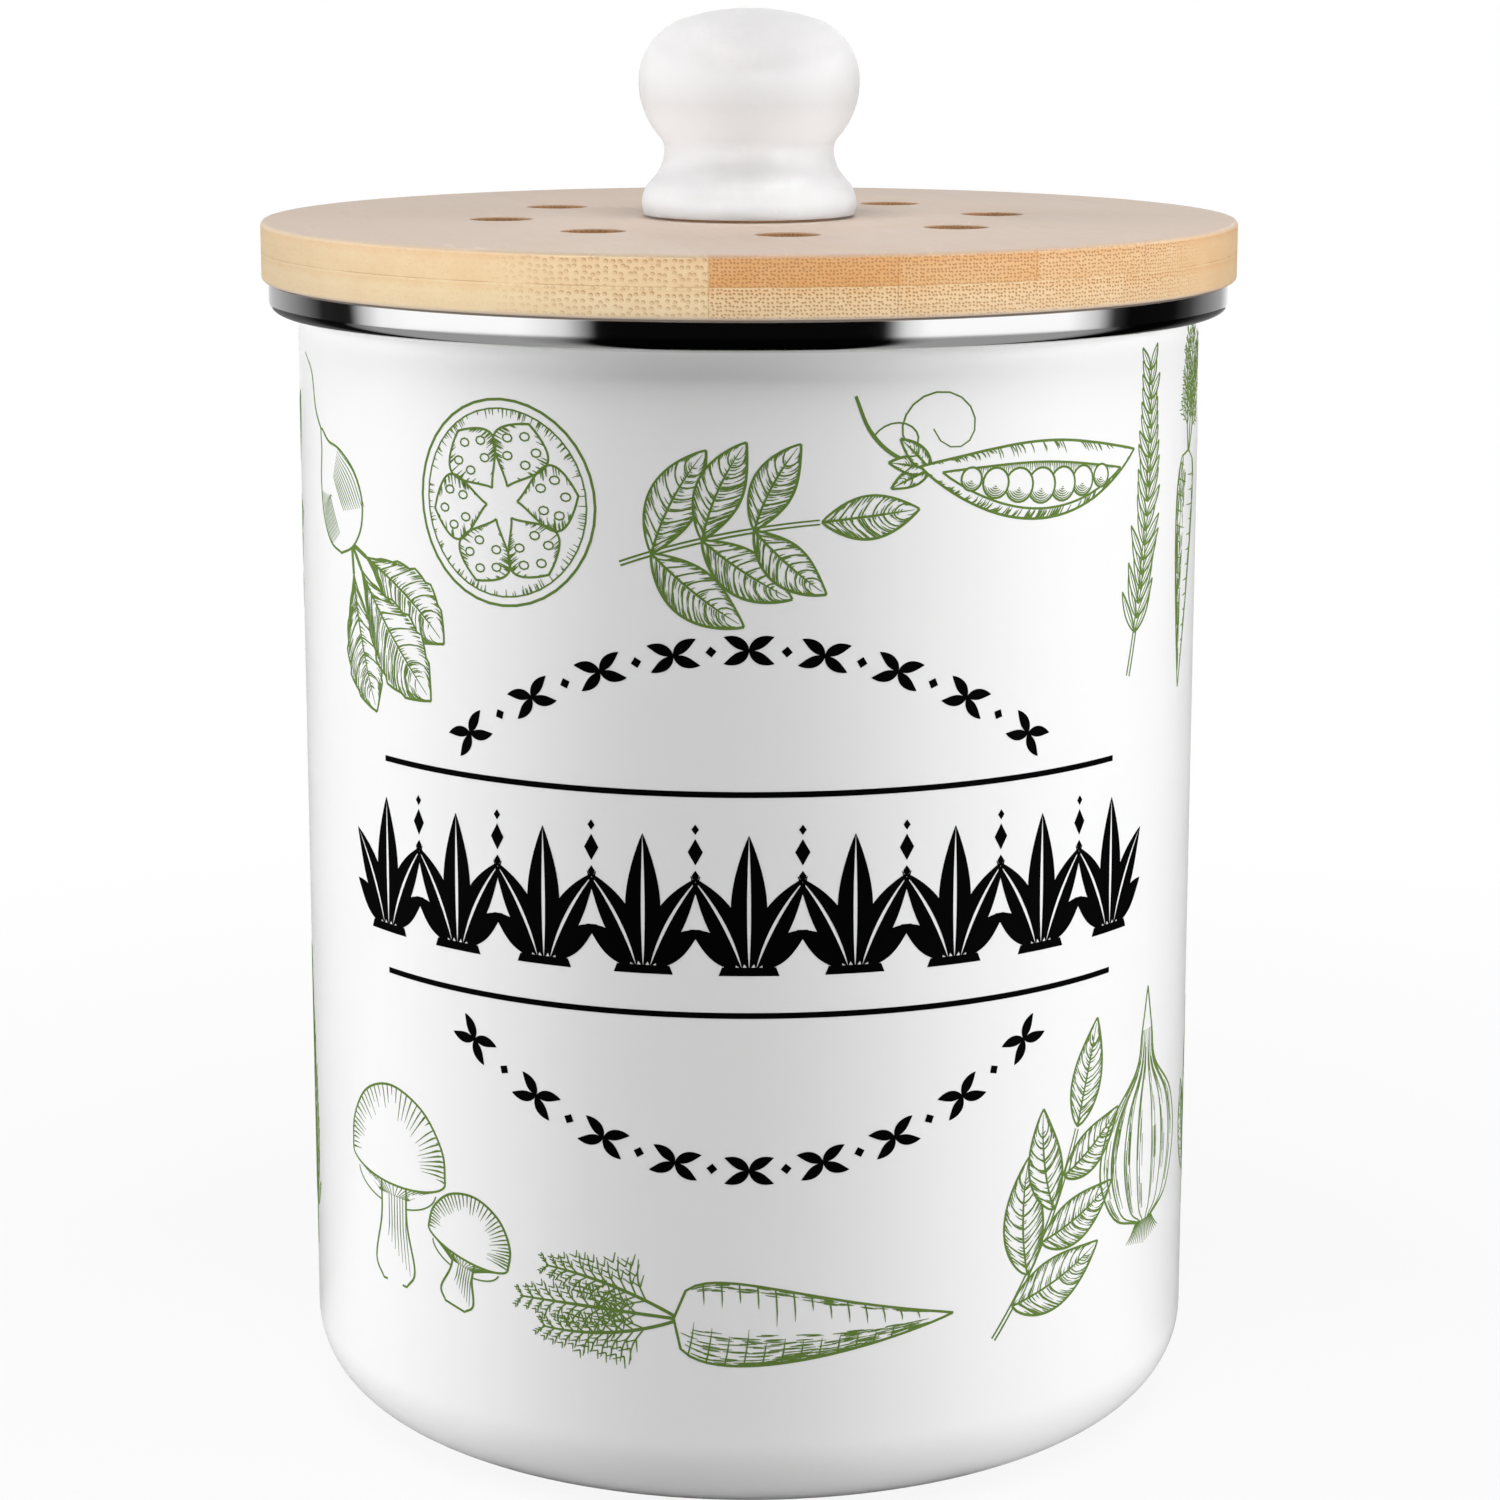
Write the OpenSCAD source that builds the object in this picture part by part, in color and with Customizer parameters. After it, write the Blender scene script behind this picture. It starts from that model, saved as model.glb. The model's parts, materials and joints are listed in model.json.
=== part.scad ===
// Countertop compost caddy: an enamelled steel can with a stainless rim, closed by a round
// bamboo lid that lifts off by a ceramic knob. A charcoal filter sits in a pocket under the
// lid's vent holes, and four turning clips hold it there.
//
// Millimetres, +Z up. The origin is the middle of the can's base, on the table.

/* [Can] */
// Outer diameter of the straight wall
can_d = 167; // [140:1:200]
// Height of the rim's top face above the table
can_h = 211.4; // [150:0.2:280]
// Thickness of the enamelled steel
wall_t = 1; // [0.8:0.1:1.6]
// Outside radius between the wall and the base
base_corner_r = 15; // [8:0.5:22]
// Width of the flat ring that the can stands on
foot_w = 6; // [4:0.5:12]
// Height that the middle of the base is pressed up
base_rise = 1.5; // [0.5:0.1:3]
// Run of the slope between the foot ring and the raised middle
base_slope = 4; // [2:0.5:8]

/* [Rim] */
// Overhang of the rim past the wall
rim_overhang = 5.25; // [4.5:0.25:8]
// Height of the rim
rim_h = 5.6; // [5:0.1:8]
// Thickness of the stainless band
band_t = 0.4; // [0.3:0.05:0.6]
// Inside radius of the bend at the band's top
band_bend_r = 0.2; // [0.1:0.05:1]
// Inside radius of the two bends in the can's flange
bend_r = 0.3; // [0.2:0.05:0.5]
// Outside radius of the hem under the band
hem_r = 2; // [1.5:0.1:2.4]
// Radial gap between the flange's skirt and the band
band_gap = 0.05; // [0.02:0.01:0.1]
// Gap between the hem's edge and the wall
hem_gap = 0.15; // [0.05:0.05:0.5]

/* [Lid] */
// Overhang of the lid past the rim
lid_overhang = 1.25; // [0.5:0.25:6]
// Thickness of each of the two bamboo plies
ply_t = 5.4; // [4:0.1:8]
// Radius of the lid's eased edges
lid_edge_r = 0.8; // [0.3:0.1:1.5]
// Turn of the lid on the can
lid_turn = 8.4; // [0:0.1:45]

/* [Vents] */
// Number of vent holes
vent_count = 8; // [4:1:10]
// Diameter of a vent hole
vent_d = 11.5; // [8:0.5:14]
// Distance of the vents' circle inside the wall of the filter's pocket
vent_inset = 15.8; // [12:0.2:20]
// Chamfer at a vent's mouth
vent_chamfer = 0.4; // [0.2:0.1:0.8]

/* [Plug and seal] */
// Gap between the plug and the can's wall, which the seal closes
seal_gap = 3.5; // [2.5:0.1:5]
// Width of the plug ring
plug_w = 17.2; // [15:0.2:20]
// Chamfer that leads the plug into the can
plug_chamfer = 1; // [0.5:0.1:1.4]
// Depth of the seal's groove in the plug
groove_depth = 2; // [1.5:0.1:3]
// Height of the seal's groove
groove_h = 5; // [4:0.1:6]
// Clearance of the seal in its groove
groove_clearance = 0.1; // [0.05:0.05:0.2]
// Number of fins on the seal
fin_count = 2; // [1:1:2]
// Thickness of a fin at its root
fin_t = 1.2; // [0.8:0.1:1.5]
// Thickness of a fin at its tip
fin_tip_t = 0.6; // [0.4:0.1:0.8]
// Rise of a fin from its root to its tip
fin_rise = 1; // [0.4:0.1:1.4]
// Clearance of the fins inside the can
fin_clearance = 0.3; // [0.3:0.05:0.6]

/* [Filter] */
// Thickness of the charcoal filter
filter_t = 9.4; // [8:0.2:14]
// Radius of the filter's edges
filter_edge_r = 1; // [0.5:0.1:2]
// Clearance round the filter in its pocket
filter_clearance = 0.8; // [0.4:0.1:1.5]
// Gap between the filter and the clips
filter_play = 0.3; // [0.2:0.05:0.6]

/* [Clips] */
// Width of a clip
clip_w = 9; // [8:0.5:10]
// Thickness of a clip
clip_t = 1.2; // [1:0.1:2]
// Reach of a clip over the filter
clip_reach = 8; // [5:0.5:10]
// Distance of a clip's pivot from the wall of the filter's pocket
clip_inset = 7.5; // [6:0.5:8]
// Turn from the first vent to the first clip
clip_turn = 22.5; // [0:0.5:90]
// Height of the thumb tab at a clip's tip
tab_h = 2.4; // [1.5:0.1:3]
// Thickness of the thumb tab
tab_t = 1.2; // [1:0.1:2]
// Free play of a clip between the plug and the screw's head
clip_play = 0.1; // [0.05:0.05:0.2]

/* [Clip screws] */
// Diameter of a clip screw's shank
pivot_d = 3.2; // [2.5:0.1:4]
// Radial clearance of a clip on its screw
pivot_clearance = 0.05; // [0.02:0.01:0.1]
// Length of a clip screw in the plug
pivot_grip = 7.5; // [6:0.1:9]
// Length of the point
point_h = 2; // [1:0.1:3]
// Diameter of a clip screw's head
pivot_head_d = 6.6; // [5.5:0.1:8]
// Height of a clip screw's head
pivot_head_h = 2; // [1.6:0.1:2.4]

/* [Knob] */
// Height of the knob
knob_h = 37.6; // [36:0.1:46]
// Largest diameter of the foot
knob_foot_d = 39.8; // [36:0.1:44]
// Height of the foot's widest line
knob_foot_z = 2.1; // [2:0.1:4]
// Diameter of the neck
knob_neck_d = 31.3; // [26:0.1:33]
// Height of the neck's narrowest line
knob_neck_z = 12; // [11:0.1:15]
// Radius of the hollow between the foot and the neck
knob_hollow_r = 8; // [6:0.1:9]
// Radius of the hollow between the neck and the bulb
knob_throat_r = 3; // [2:0.1:4]
// Largest diameter of the bulb
knob_bulb_d = 40.8; // [38:0.1:46]
// Height of the crown above the bulb's widest line
knob_crown_h = 13.3; // [12.8:0.1:15]
// Radius of the bulb's shoulder
knob_shoulder_r = 12; // [9:0.1:12.4]

/* [Knob fastening] */
// Thickness of the gasket under the knob
gasket_t = 0.5; // [0.3:0.1:1]
// Diameter of the gasket
gasket_d = 34; // [24:0.5:36]
// Diameter of the threaded insert
insert_d = 8; // [7:0.1:10]
// Length of the threaded insert
insert_h = 14; // [12:0.5:18]
// Diameter of the insert's flange
insert_flange_d = 11; // [10.5:0.1:14]
// Thickness of the insert's flange
insert_flange_t = 1.2; // [0.8:0.1:2]
// Radial clearance of the insert in the knob
insert_clearance = 0.05; // [0.02:0.01:0.1]
// Diameter of the knob screw
screw_d = 5; // [4:0.1:5]
// Radial clearance of the knob screw in its insert
screw_clearance = 0.05; // [0.02:0.01:0.1]
// Radial clearance of the knob screw in the lid
lid_hole_clearance = 0.4; // [0.2:0.1:0.8]
// Length of the knob screw in its insert
screw_grip = 10; // [8:0.1:11]
// Diameter of the knob screw's head
screw_head_d = 10; // [9:0.1:12]
// Height of the knob screw's head
screw_head_h = 2.6; // [2:0.1:3]
// Diameter of the washer
washer_d = 15; // [13:0.5:18]
// Thickness of the washer
washer_t = 1; // [0.6:0.1:1.2]
// Clearance round the washer and under the screw's head
recess_clearance = 0.4; // [0.2:0.1:0.6]

/* [Hidden] */
$fn = 96;

// Steps in each arc of a turned outline
arc_steps = 12;
// Overlap of a cutter past the face that it cuts
cut = 0.5;
clip_count = 4;

can_r = can_d / 2;
mouth_r = can_r - wall_t;

// The flange at the can's top, and the band that wraps it
rim_r = can_r + rim_overhang;
flange_r = rim_r - band_t - band_gap;
flange_z = can_h - band_t;
flange_bend_r = bend_r + wall_t;
hem_z = can_h - rim_h + hem_r;
skirt_z = hem_z + band_gap;

// The lid sits on the band
lid_r = rim_r + lid_overhang;
lid_top_z = can_h + 2 * ply_t;

// The plug hangs under the lid, inside the can
plug_r = mouth_r - seal_gap;
pocket_r = plug_r - plug_w;
plug_h = filter_t + filter_play;
plug_z = can_h - plug_h;
groove_z = can_h - (plug_h + groove_h) / 2;
vent_ring_r = pocket_r - vent_inset;

clip_pivot_r = pocket_r + clip_inset;
clip_tip = clip_inset + clip_reach - clip_w / 2;
clip_z = plug_z - clip_play - clip_t;

// The knob stands on its gasket, and its screw is sunk in the lid's underside
knob_z = lid_top_z + gasket_t;
knob_bulb_z = knob_h - knob_crown_h;
recess_h = washer_t + screw_head_h + recess_clearance;
recess_z = can_h + recess_h;
screw_hole_d = screw_d + 2 * lid_hole_clearance;

enamel = "white";
steel = "lightgray";
bamboo = "burlywood";
ceramic = "whitesmoke";
brass = "goldenrod";
rubber = "darkgray";

// Points along an arc about c, from angle a0 to angle a1
function arc(c, r, a0, a1) =
    [for (i = [0 : arc_steps]) let (a = a0 + (a1 - a0) * i / arc_steps) c + r * [cos(a), sin(a)]];

// A closed outline [radius, height] turned about the Z axis
module turned(outline) {
    rotate_extrude() polygon(outline);
}

// A tube standing on z
module tube(outer_d, inner_d, z, h) {
    translate([0, 0, z]) difference() {
        cylinder(d = outer_d, h = h);
        translate([0, 0, -cut]) cylinder(d = inner_d, h = h + 2 * cut);
    }
}

// Children at clip i's pivot, with +X pointing out of the can
module at_clip(i) {
    rotate(lid_turn + clip_turn + (i - 1) * 360 / clip_count) translate([clip_pivot_r, 0, 0]) children();
}

// ---- Can ----

// Drawn steel, enamelled inside and out: a dished base, a straight wall, and at the top a
// flange that is bent out and then down
module enamel_body() {
    corner = [can_r - base_corner_r, base_corner_r];
    foot_r = can_r - base_corner_r - foot_w;
    mouth_bend = [can_r + bend_r, flange_z - flange_bend_r];
    edge_bend = [flange_r - flange_bend_r, flange_z - flange_bend_r];
    color(enamel) turned(concat(
        [[0, base_rise], [foot_r - base_slope, base_rise], [foot_r, 0]],
        arc(corner, base_corner_r, -90, 0),
        arc(mouth_bend, bend_r, 180, 90),
        arc(edge_bend, bend_r, 90, 0),
        [[flange_r - wall_t, skirt_z], [flange_r, skirt_z]],
        arc(edge_bend, flange_bend_r, 0, 90),
        arc(mouth_bend, flange_bend_r, 90, 180),
        arc(corner, base_corner_r - wall_t, 0, -90),
        [[foot_r, wall_t], [foot_r - base_slope, base_rise + wall_t], [0, base_rise + wall_t]]
    ));
}

// Stainless strip rolled over the flange, with its lower edge hemmed in against the wall
module rim_band() {
    crown_r = band_bend_r + band_t;
    crown = [rim_r - crown_r, can_h - crown_r];
    hem = [rim_r - hem_r, hem_z];
    color(steel) turned(concat(
        [[can_r + bend_r, flange_z], [can_r + bend_r, can_h]],
        arc(crown, crown_r, 90, 0),
        arc(hem, hem_r, 0, -90),
        [[can_r + hem_gap, can_h - rim_h], [can_r + hem_gap, can_h - rim_h + band_t]],
        arc(hem, hem_r - band_t, -90, 0),
        arc(crown, band_bend_r, 0, 90)
    ));
}

// ---- Lid ----

// Straight vent holes through both plies
module vent_holes() {
    for (i = [0 : vent_count - 1])
        rotate(lid_turn + i * 360 / vent_count)
            translate([vent_ring_r, 0, can_h - cut]) cylinder(d = vent_d, h = 2 * (ply_t + cut));
}

// Chamfers round the vents' upper mouths
module vent_mouths() {
    for (i = [0 : vent_count - 1])
        rotate(lid_turn + i * 360 / vent_count)
            translate([vent_ring_r, 0, lid_top_z - vent_chamfer])
                cylinder(d1 = vent_d, d2 = vent_d + 4 * vent_chamfer, h = 2 * vent_chamfer);
}

// The knob screw's hole, and the recess for its head and washer
module screw_hole() {
    translate([0, 0, can_h - cut]) cylinder(d = screw_hole_d, h = 2 * (ply_t + cut));
    translate([0, 0, can_h - cut]) cylinder(d = washer_d + 2 * recess_clearance, h = recess_h + cut);
}

module lid_top_ply() {
    color(bamboo) difference() {
        turned(concat(
            [[0, can_h + ply_t], [lid_r, can_h + ply_t]],
            arc([lid_r - lid_edge_r, lid_top_z - lid_edge_r], lid_edge_r, 0, 90),
            [[0, lid_top_z]]
        ));
        vent_holes();
        vent_mouths();
        screw_hole();
    }
}

module lid_bottom_ply() {
    color(bamboo) difference() {
        turned(concat(
            [[0, can_h]],
            arc([lid_r - lid_edge_r, can_h + lid_edge_r], lid_edge_r, -90, 0),
            [[lid_r, can_h + ply_t], [0, can_h + ply_t]]
        ));
        vent_holes();
        screw_hole();
    }
}

// Ring glued under the lid: it centres the lid in the can, carries the seal and walls the pocket
module lid_plug_ring() {
    color(bamboo) difference() {
        turned([
            [pocket_r, can_h], [pocket_r, plug_z],
            [plug_r - plug_chamfer, plug_z], [plug_r, plug_z + plug_chamfer],
            [plug_r, groove_z], [plug_r - groove_depth, groove_z],
            [plug_r - groove_depth, groove_z + groove_h], [plug_r, groove_z + groove_h],
            [plug_r, can_h]
        ]);
        for (i = [1 : clip_count])
            at_clip(i) translate([0, 0, plug_z - cut])
                cylinder(d = pivot_d + 2 * pivot_clearance, h = pivot_grip + 2 * cut);
    }
}

// Silicone ring in the plug's groove, with fins that wipe the can's wall
module lid_seal() {
    root_r = plug_r - groove_depth + groove_clearance;
    root_h = groove_h - groove_clearance;
    fin_pitch = root_h / fin_count;
    color(rubber) turned(concat(
        [[root_r, groove_z], [plug_r, groove_z]],
        [for (i = [0 : fin_count - 1]) each
            let (z = groove_z + (i + 0.5) * fin_pitch - fin_t / 2, tip_r = mouth_r - fin_clearance) [
                [plug_r, z],
                [tip_r, z + fin_rise],
                [tip_r, z + fin_rise + fin_tip_t],
                [plug_r, z + fin_t]
            ]],
        [[plug_r, groove_z + root_h], [root_r, groove_z + root_h]]
    ));
}

// ---- Knob ----

// Glazed ceramic. The outline is a chain of tangent arcs: foot, hollow, throat, bulb,
// shoulder and dome. The radii that the neighbours fix are solved for tangency.
module knob() {
    foot_r = knob_foot_d / 2;
    neck_r = knob_neck_d / 2;
    bulb_r = knob_bulb_d / 2;

    hollow_c = [neck_r + knob_hollow_r, knob_neck_z];
    hollow_offset = hollow_c.x - foot_r;
    foot_rise = knob_neck_z - knob_foot_z;
    foot_arc_r = (hollow_offset ^ 2 + foot_rise ^ 2 - knob_hollow_r ^ 2)
        / (2 * (knob_hollow_r - hollow_offset));
    foot_c = [foot_r - foot_arc_r, knob_foot_z];
    foot_a = atan2(hollow_c.y - foot_c.y, hollow_c.x - foot_c.x);

    throat_c = [neck_r + knob_throat_r, knob_neck_z];
    throat_offset = throat_c.x - bulb_r;
    bulb_rise = knob_bulb_z - knob_neck_z;
    bulb_arc_r = (throat_offset ^ 2 + bulb_rise ^ 2 - knob_throat_r ^ 2)
        / (2 * (knob_throat_r - throat_offset));
    bulb_c = [bulb_r - bulb_arc_r, knob_bulb_z];
    bulb_a = atan2(bulb_c.y - throat_c.y, bulb_c.x - throat_c.x);

    shoulder_c = [bulb_r - knob_shoulder_r, knob_bulb_z];
    dome_r = (shoulder_c.x ^ 2 + knob_crown_h ^ 2 - knob_shoulder_r ^ 2)
        / (2 * (knob_crown_h - knob_shoulder_r));
    dome_c = [0, knob_h - dome_r];
    dome_a = atan2(shoulder_c.y - dome_c.y, shoulder_c.x);

    color(ceramic) translate([0, 0, knob_z]) difference() {
        turned(concat(
            [[0, 0]],
            arc(foot_c, foot_arc_r, -asin(knob_foot_z / foot_arc_r), foot_a),
            arc(hollow_c, knob_hollow_r, 180 + foot_a, 180),
            arc(throat_c, knob_throat_r, 180, bulb_a),
            arc(bulb_c, bulb_arc_r, bulb_a - 180, 0),
            arc(shoulder_c, knob_shoulder_r, 0, dome_a),
            arc(dome_c, dome_r, dome_a, 90)
        ));
        translate([0, 0, -cut])
            cylinder(d = insert_d + 2 * insert_clearance, h = insert_h + insert_clearance + cut);
        translate([0, 0, -cut])
            cylinder(d = insert_flange_d + 2 * insert_clearance, h = insert_flange_t + cut);
    }
}

module knob_gasket() {
    color(rubber) tube(gasket_d, screw_hole_d, lid_top_z, gasket_t);
}

// Brass bush cemented into the knob, with a blind bore for the screw
module knob_insert() {
    color(brass) translate([0, 0, knob_z]) difference() {
        union() {
            cylinder(d = insert_d, h = insert_h);
            cylinder(d = insert_flange_d, h = insert_flange_t);
        }
        translate([0, 0, -cut]) cylinder(d = screw_d + 2 * screw_clearance, h = screw_grip + 2 * cut);
    }
}

// Pan-head machine screw, driven up from under the lid
module knob_screw() {
    head_z = recess_z - washer_t - screw_head_h;
    color(steel) difference() {
        union() {
            translate([0, 0, head_z])
                cylinder(d1 = screw_head_d - screw_head_h, d2 = screw_head_d, h = screw_head_h);
            translate([0, 0, head_z])
                cylinder(d = screw_d, h = knob_z + screw_grip - head_z);
        }
        driver_recess(head_z, screw_head_d / 2);
    }
}

module knob_washer() {
    color(steel) tube(washer_d, screw_hole_d, recess_z - washer_t, washer_t);
}

// Cross recess of a screw's head, cut up into the face at z
module driver_recess(z, span) {
    for (a = [0, 90])
        rotate(a) translate([-span / 2, -span / 10, z - cut]) cube([span, span / 5, cut + span / 4]);
}

// ---- Filter and its clips ----

// Felted charcoal disc with rounded edges, pushed up against the lid
module charcoal_filter() {
    filter_r = pocket_r - filter_clearance;
    color("dimgray") turned(concat(
        [[0, can_h - filter_t]],
        arc([filter_r - filter_edge_r, can_h - filter_t + filter_edge_r], filter_edge_r, -90, 0),
        arc([filter_r - filter_edge_r, can_h - filter_edge_r], filter_edge_r, 0, 90),
        [[0, can_h]]
    ));
}

// Stamped turn button: a flat tongue on a pivot, with a thumb tab bent down at its tip
module filter_clip(i) {
    color(steel) at_clip(i) translate([0, 0, clip_z]) difference() {
        union() {
            linear_extrude(clip_t) {
                circle(d = clip_w);
                translate([-clip_tip, -clip_w / 2]) square([clip_tip, clip_w]);
                translate([-clip_tip, 0]) circle(d = clip_w);
            }
            translate([-clip_tip - tab_t, -clip_w / 4, -tab_h]) cube([tab_t, clip_w / 2, tab_h + clip_t / 2]);
        }
        translate([0, 0, -cut]) cylinder(d = pivot_d + 2 * pivot_clearance, h = clip_t + 2 * cut);
    }
}

// Pan-head wood screw that a clip turns on
module clip_screw(i) {
    head_z = clip_z - clip_play - pivot_head_h;
    shank_h = plug_z + pivot_grip - point_h - head_z;
    color(steel) at_clip(i) difference() {
        union() {
            translate([0, 0, head_z])
                cylinder(d1 = pivot_head_d - pivot_head_h, d2 = pivot_head_d, h = pivot_head_h);
            translate([0, 0, head_z]) cylinder(d = pivot_d, h = shank_h);
            translate([0, 0, head_z + shank_h]) cylinder(d1 = pivot_d, d2 = pivot_d / 8, h = point_h);
        }
        driver_recess(head_z, pivot_head_d / 2);
    }
}

enamel_body();
rim_band();
lid_top_ply();
lid_bottom_ply();
lid_plug_ring();
lid_seal();
knob();
knob_gasket();
knob_insert();
knob_screw();
knob_washer();
charcoal_filter();
filter_clip(1);  // filter_clip_1
filter_clip(2);  // filter_clip_2
filter_clip(3);  // filter_clip_3
filter_clip(4);  // filter_clip_4
clip_screw(1);  // clip_screw_1
clip_screw(2);  // clip_screw_2
clip_screw(3);  // clip_screw_3
clip_screw(4);  // clip_screw_4
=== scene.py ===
"""Dresses the compost caddy: smooth turned pieces, bamboo, enamel, glaze and printed kitchen plants."""

import json
import math
import random

import bmesh
import bpy
from bpy.props import FloatProperty, FloatVectorProperty, IntProperty, PointerProperty
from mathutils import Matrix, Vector

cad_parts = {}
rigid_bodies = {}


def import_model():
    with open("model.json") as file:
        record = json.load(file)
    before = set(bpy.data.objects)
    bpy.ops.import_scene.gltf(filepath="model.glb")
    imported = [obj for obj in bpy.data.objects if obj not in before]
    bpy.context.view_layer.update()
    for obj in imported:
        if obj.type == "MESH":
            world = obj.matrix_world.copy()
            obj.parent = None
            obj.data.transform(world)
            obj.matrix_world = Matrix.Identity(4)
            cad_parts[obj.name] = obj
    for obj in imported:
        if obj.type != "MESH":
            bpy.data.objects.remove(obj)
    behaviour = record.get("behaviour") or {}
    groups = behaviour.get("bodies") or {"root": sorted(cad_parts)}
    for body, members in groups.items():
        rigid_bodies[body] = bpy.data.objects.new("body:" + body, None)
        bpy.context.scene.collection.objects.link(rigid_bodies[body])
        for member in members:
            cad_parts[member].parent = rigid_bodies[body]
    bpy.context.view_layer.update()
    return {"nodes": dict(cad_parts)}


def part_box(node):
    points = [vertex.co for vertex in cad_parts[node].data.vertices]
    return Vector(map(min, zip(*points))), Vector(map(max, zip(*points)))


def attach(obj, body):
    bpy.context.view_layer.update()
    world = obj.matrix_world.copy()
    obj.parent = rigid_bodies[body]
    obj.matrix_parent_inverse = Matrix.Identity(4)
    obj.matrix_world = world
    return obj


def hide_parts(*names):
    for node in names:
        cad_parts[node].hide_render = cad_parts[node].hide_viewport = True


bl_info = {
    "name": "Compost Caddy",
    "version": (1, 0, 0),
    "blender": (4, 5, 0),
    "location": "View3D > Sidebar > Caddy",
    "description": "Models an enamelled compost caddy with a bamboo lid round its solid frame",
    "category": "Object",
}

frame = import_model()
MM = 0.001


def reach(node, low=-math.inf, high=math.inf, pick=max):
    """How far from the caddy's axis a frame node reaches between two heights, or how near with min."""
    vertices = frame["nodes"][node].data.vertices
    return pick(math.hypot(v.co.x, v.co.y) for v in vertices if low <= v.co.z <= high)


def bottom(node):
    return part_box(node)[0][2]


def top(node):
    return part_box(node)[1][2]


CAN_TOP = top("rim_band")
MID_CAN = CAN_TOP / 2
CAN_R = reach("enamel_body", high=MID_CAN)
MOUTH_R = reach("enamel_body", low=MID_CAN, pick=min)
RIM_R = reach("rim_band")
LID_R = reach("lid_top_ply")
GLUE_Z = top("lid_bottom_ply")
LID_TOP = top("lid_top_ply")
POCKET_R = reach("lid_plug_ring", pick=min)


# ---------------- sizes and colours


def length(name, description, default):
    """A size in metres, given here in millimetres."""
    return FloatProperty(
        name=name, description=description, default=default * MM, unit="LENGTH", precision=5)


def angle(name, description, default):
    """An angle, given here in degrees."""
    return FloatProperty(
        name=name, description=description, default=math.radians(default), subtype="ANGLE")


def shade(name, description, default):
    """A linear colour."""
    return FloatVectorProperty(
        name=name, description=description, default=default, subtype="COLOR", size=3, min=0, max=1)


class CaddySizes(bpy.types.PropertyGroup):
    """Sizes of the looks that the frame's boxes don't give."""

    corner: length("Base corner", "Outside radius between the wall and the base", 15)
    foot: length("Foot", "Width of the flat ring that the can stands on", 6)
    base_rise: length("Base rise", "Height that the middle of the base is pressed up", 1.5)
    base_slope: length("Base slope", "Run of the slope up to the middle of the base", 4)
    bend: length("Flange bend", "Inside radius of the bends in the flange", 0.3)
    band: length("Band", "Thickness of the stainless band", 0.4)
    band_bend: length("Band bend", "Inside radius of the bend at the band's top", 0.2)
    hem: length("Hem", "Outside radius of the hem under the band", 2)
    band_gap: length("Band gap", "Gap between the flange and the band round it", 0.05)
    hem_gap: length("Hem gap", "Gap between the hem's edge and the wall", 0.15)
    lid_edge: length("Lid edge", "Radius of the lid's eased edges", 0.8)
    vent: length("Vent", "Diameter of a vent hole", 11.5)
    vent_edge: length("Vent edge", "Radius of the vents' eased mouths", 0.35)
    recess: length("Recess", "Diameter of the knob screw's recess", 15.8)
    recess_depth: length("Recess depth", "Depth of the knob screw's recess", 4)
    print_lift: length("Print lift", "Height of the fired print over the enamel", 0.04)
    vents: IntProperty(name="Vents", description="Number of vent holes", default=8, min=1)
    lid_turn: angle("Lid turn", "Turn of the lid on the can", 8.4)
    grain_turn: angle("Grain turn", "Turn of the bamboo's fibres on the can", 16)


class CaddyColours(bpy.types.PropertyGroup):
    """Colours of the finishes."""

    enamel: shade("Enamel", "White enamel", (0.79, 0.79, 0.79))
    steel: shade("Steel", "Polished stainless steel", (0.8, 0.8, 0.8))
    bamboo: shade("Bamboo", "Pale bamboo strips", (0.53, 0.425, 0.268))
    caramel: shade("Caramel", "Steamed bamboo strips", (0.45, 0.235, 0.09))
    # Painted shade: a darker, greyer colour for the lid's edge where the strips show their long sides, at
    # its left and right
    painted_side_shade: shade("Side_shade_painted bamboo", "Strips' sides, greyed by shade_painted_there", (0.20, 0.175, 0.14))
    # Painted sheen: a paler, greyer bamboo colour for the lid's flat faces, standing for their grazing
    # reflection
    painted_face_sheen: shade("Sheen_painted bamboo", "Lid's face, paled by sheen_painted_there", (0.47, 0.39, 0.335))
    pore: shade("Pore", "Fibre bundles and glue lines", (0.25, 0.115, 0.035))
    glaze: shade("Glaze", "White ceramic glaze", (0.61, 0.61, 0.615))
    # Painted shade: a darker glaze colour for the knob's bulb
    painted_bulb_shade: shade("Bulb_shade_painted glaze", "Glaze where it lies thicker, on the bulb", (0.45, 0.45, 0.455))
    leaf: shade("Leaf ink", "Green print", (0.112, 0.184, 0.041))
    black: shade("Black ink", "Black print", (0.0012, 0.0012, 0.0012))
    silicone: shade("Silicone", "Seal", (0.62, 0.62, 0.60))
    # Partly painted shade: the gasket's colour, with the bamboo showing through it, is darkened to stand
    # for the contact shadow under the knob's foot
    gasket: shade("Gasket", "Thin gasket that takes the bamboo's tone", (0.26, 0.13, 0.06))
    charcoal: shade("Charcoal", "Charcoal felt", (0.018, 0.018, 0.02))
    brass: shade("Brass", "Threaded insert", (0.75, 0.55, 0.25))
    floor: shade("Floor", "Pale floor", (0.54, 0.54, 0.54))


# ---------------- modelling


def deselect():
    if bpy.context.mode != "OBJECT":
        bpy.ops.object.mode_set(mode="OBJECT")
    bpy.ops.object.select_all(action="DESELECT")


def activate(piece):
    deselect()
    piece.select_set(True)
    bpy.context.view_layer.objects.active = piece


def named(name):
    """The new active object, under its own name."""
    piece = bpy.context.active_object
    piece.name = piece.data.name = name
    return piece


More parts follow.
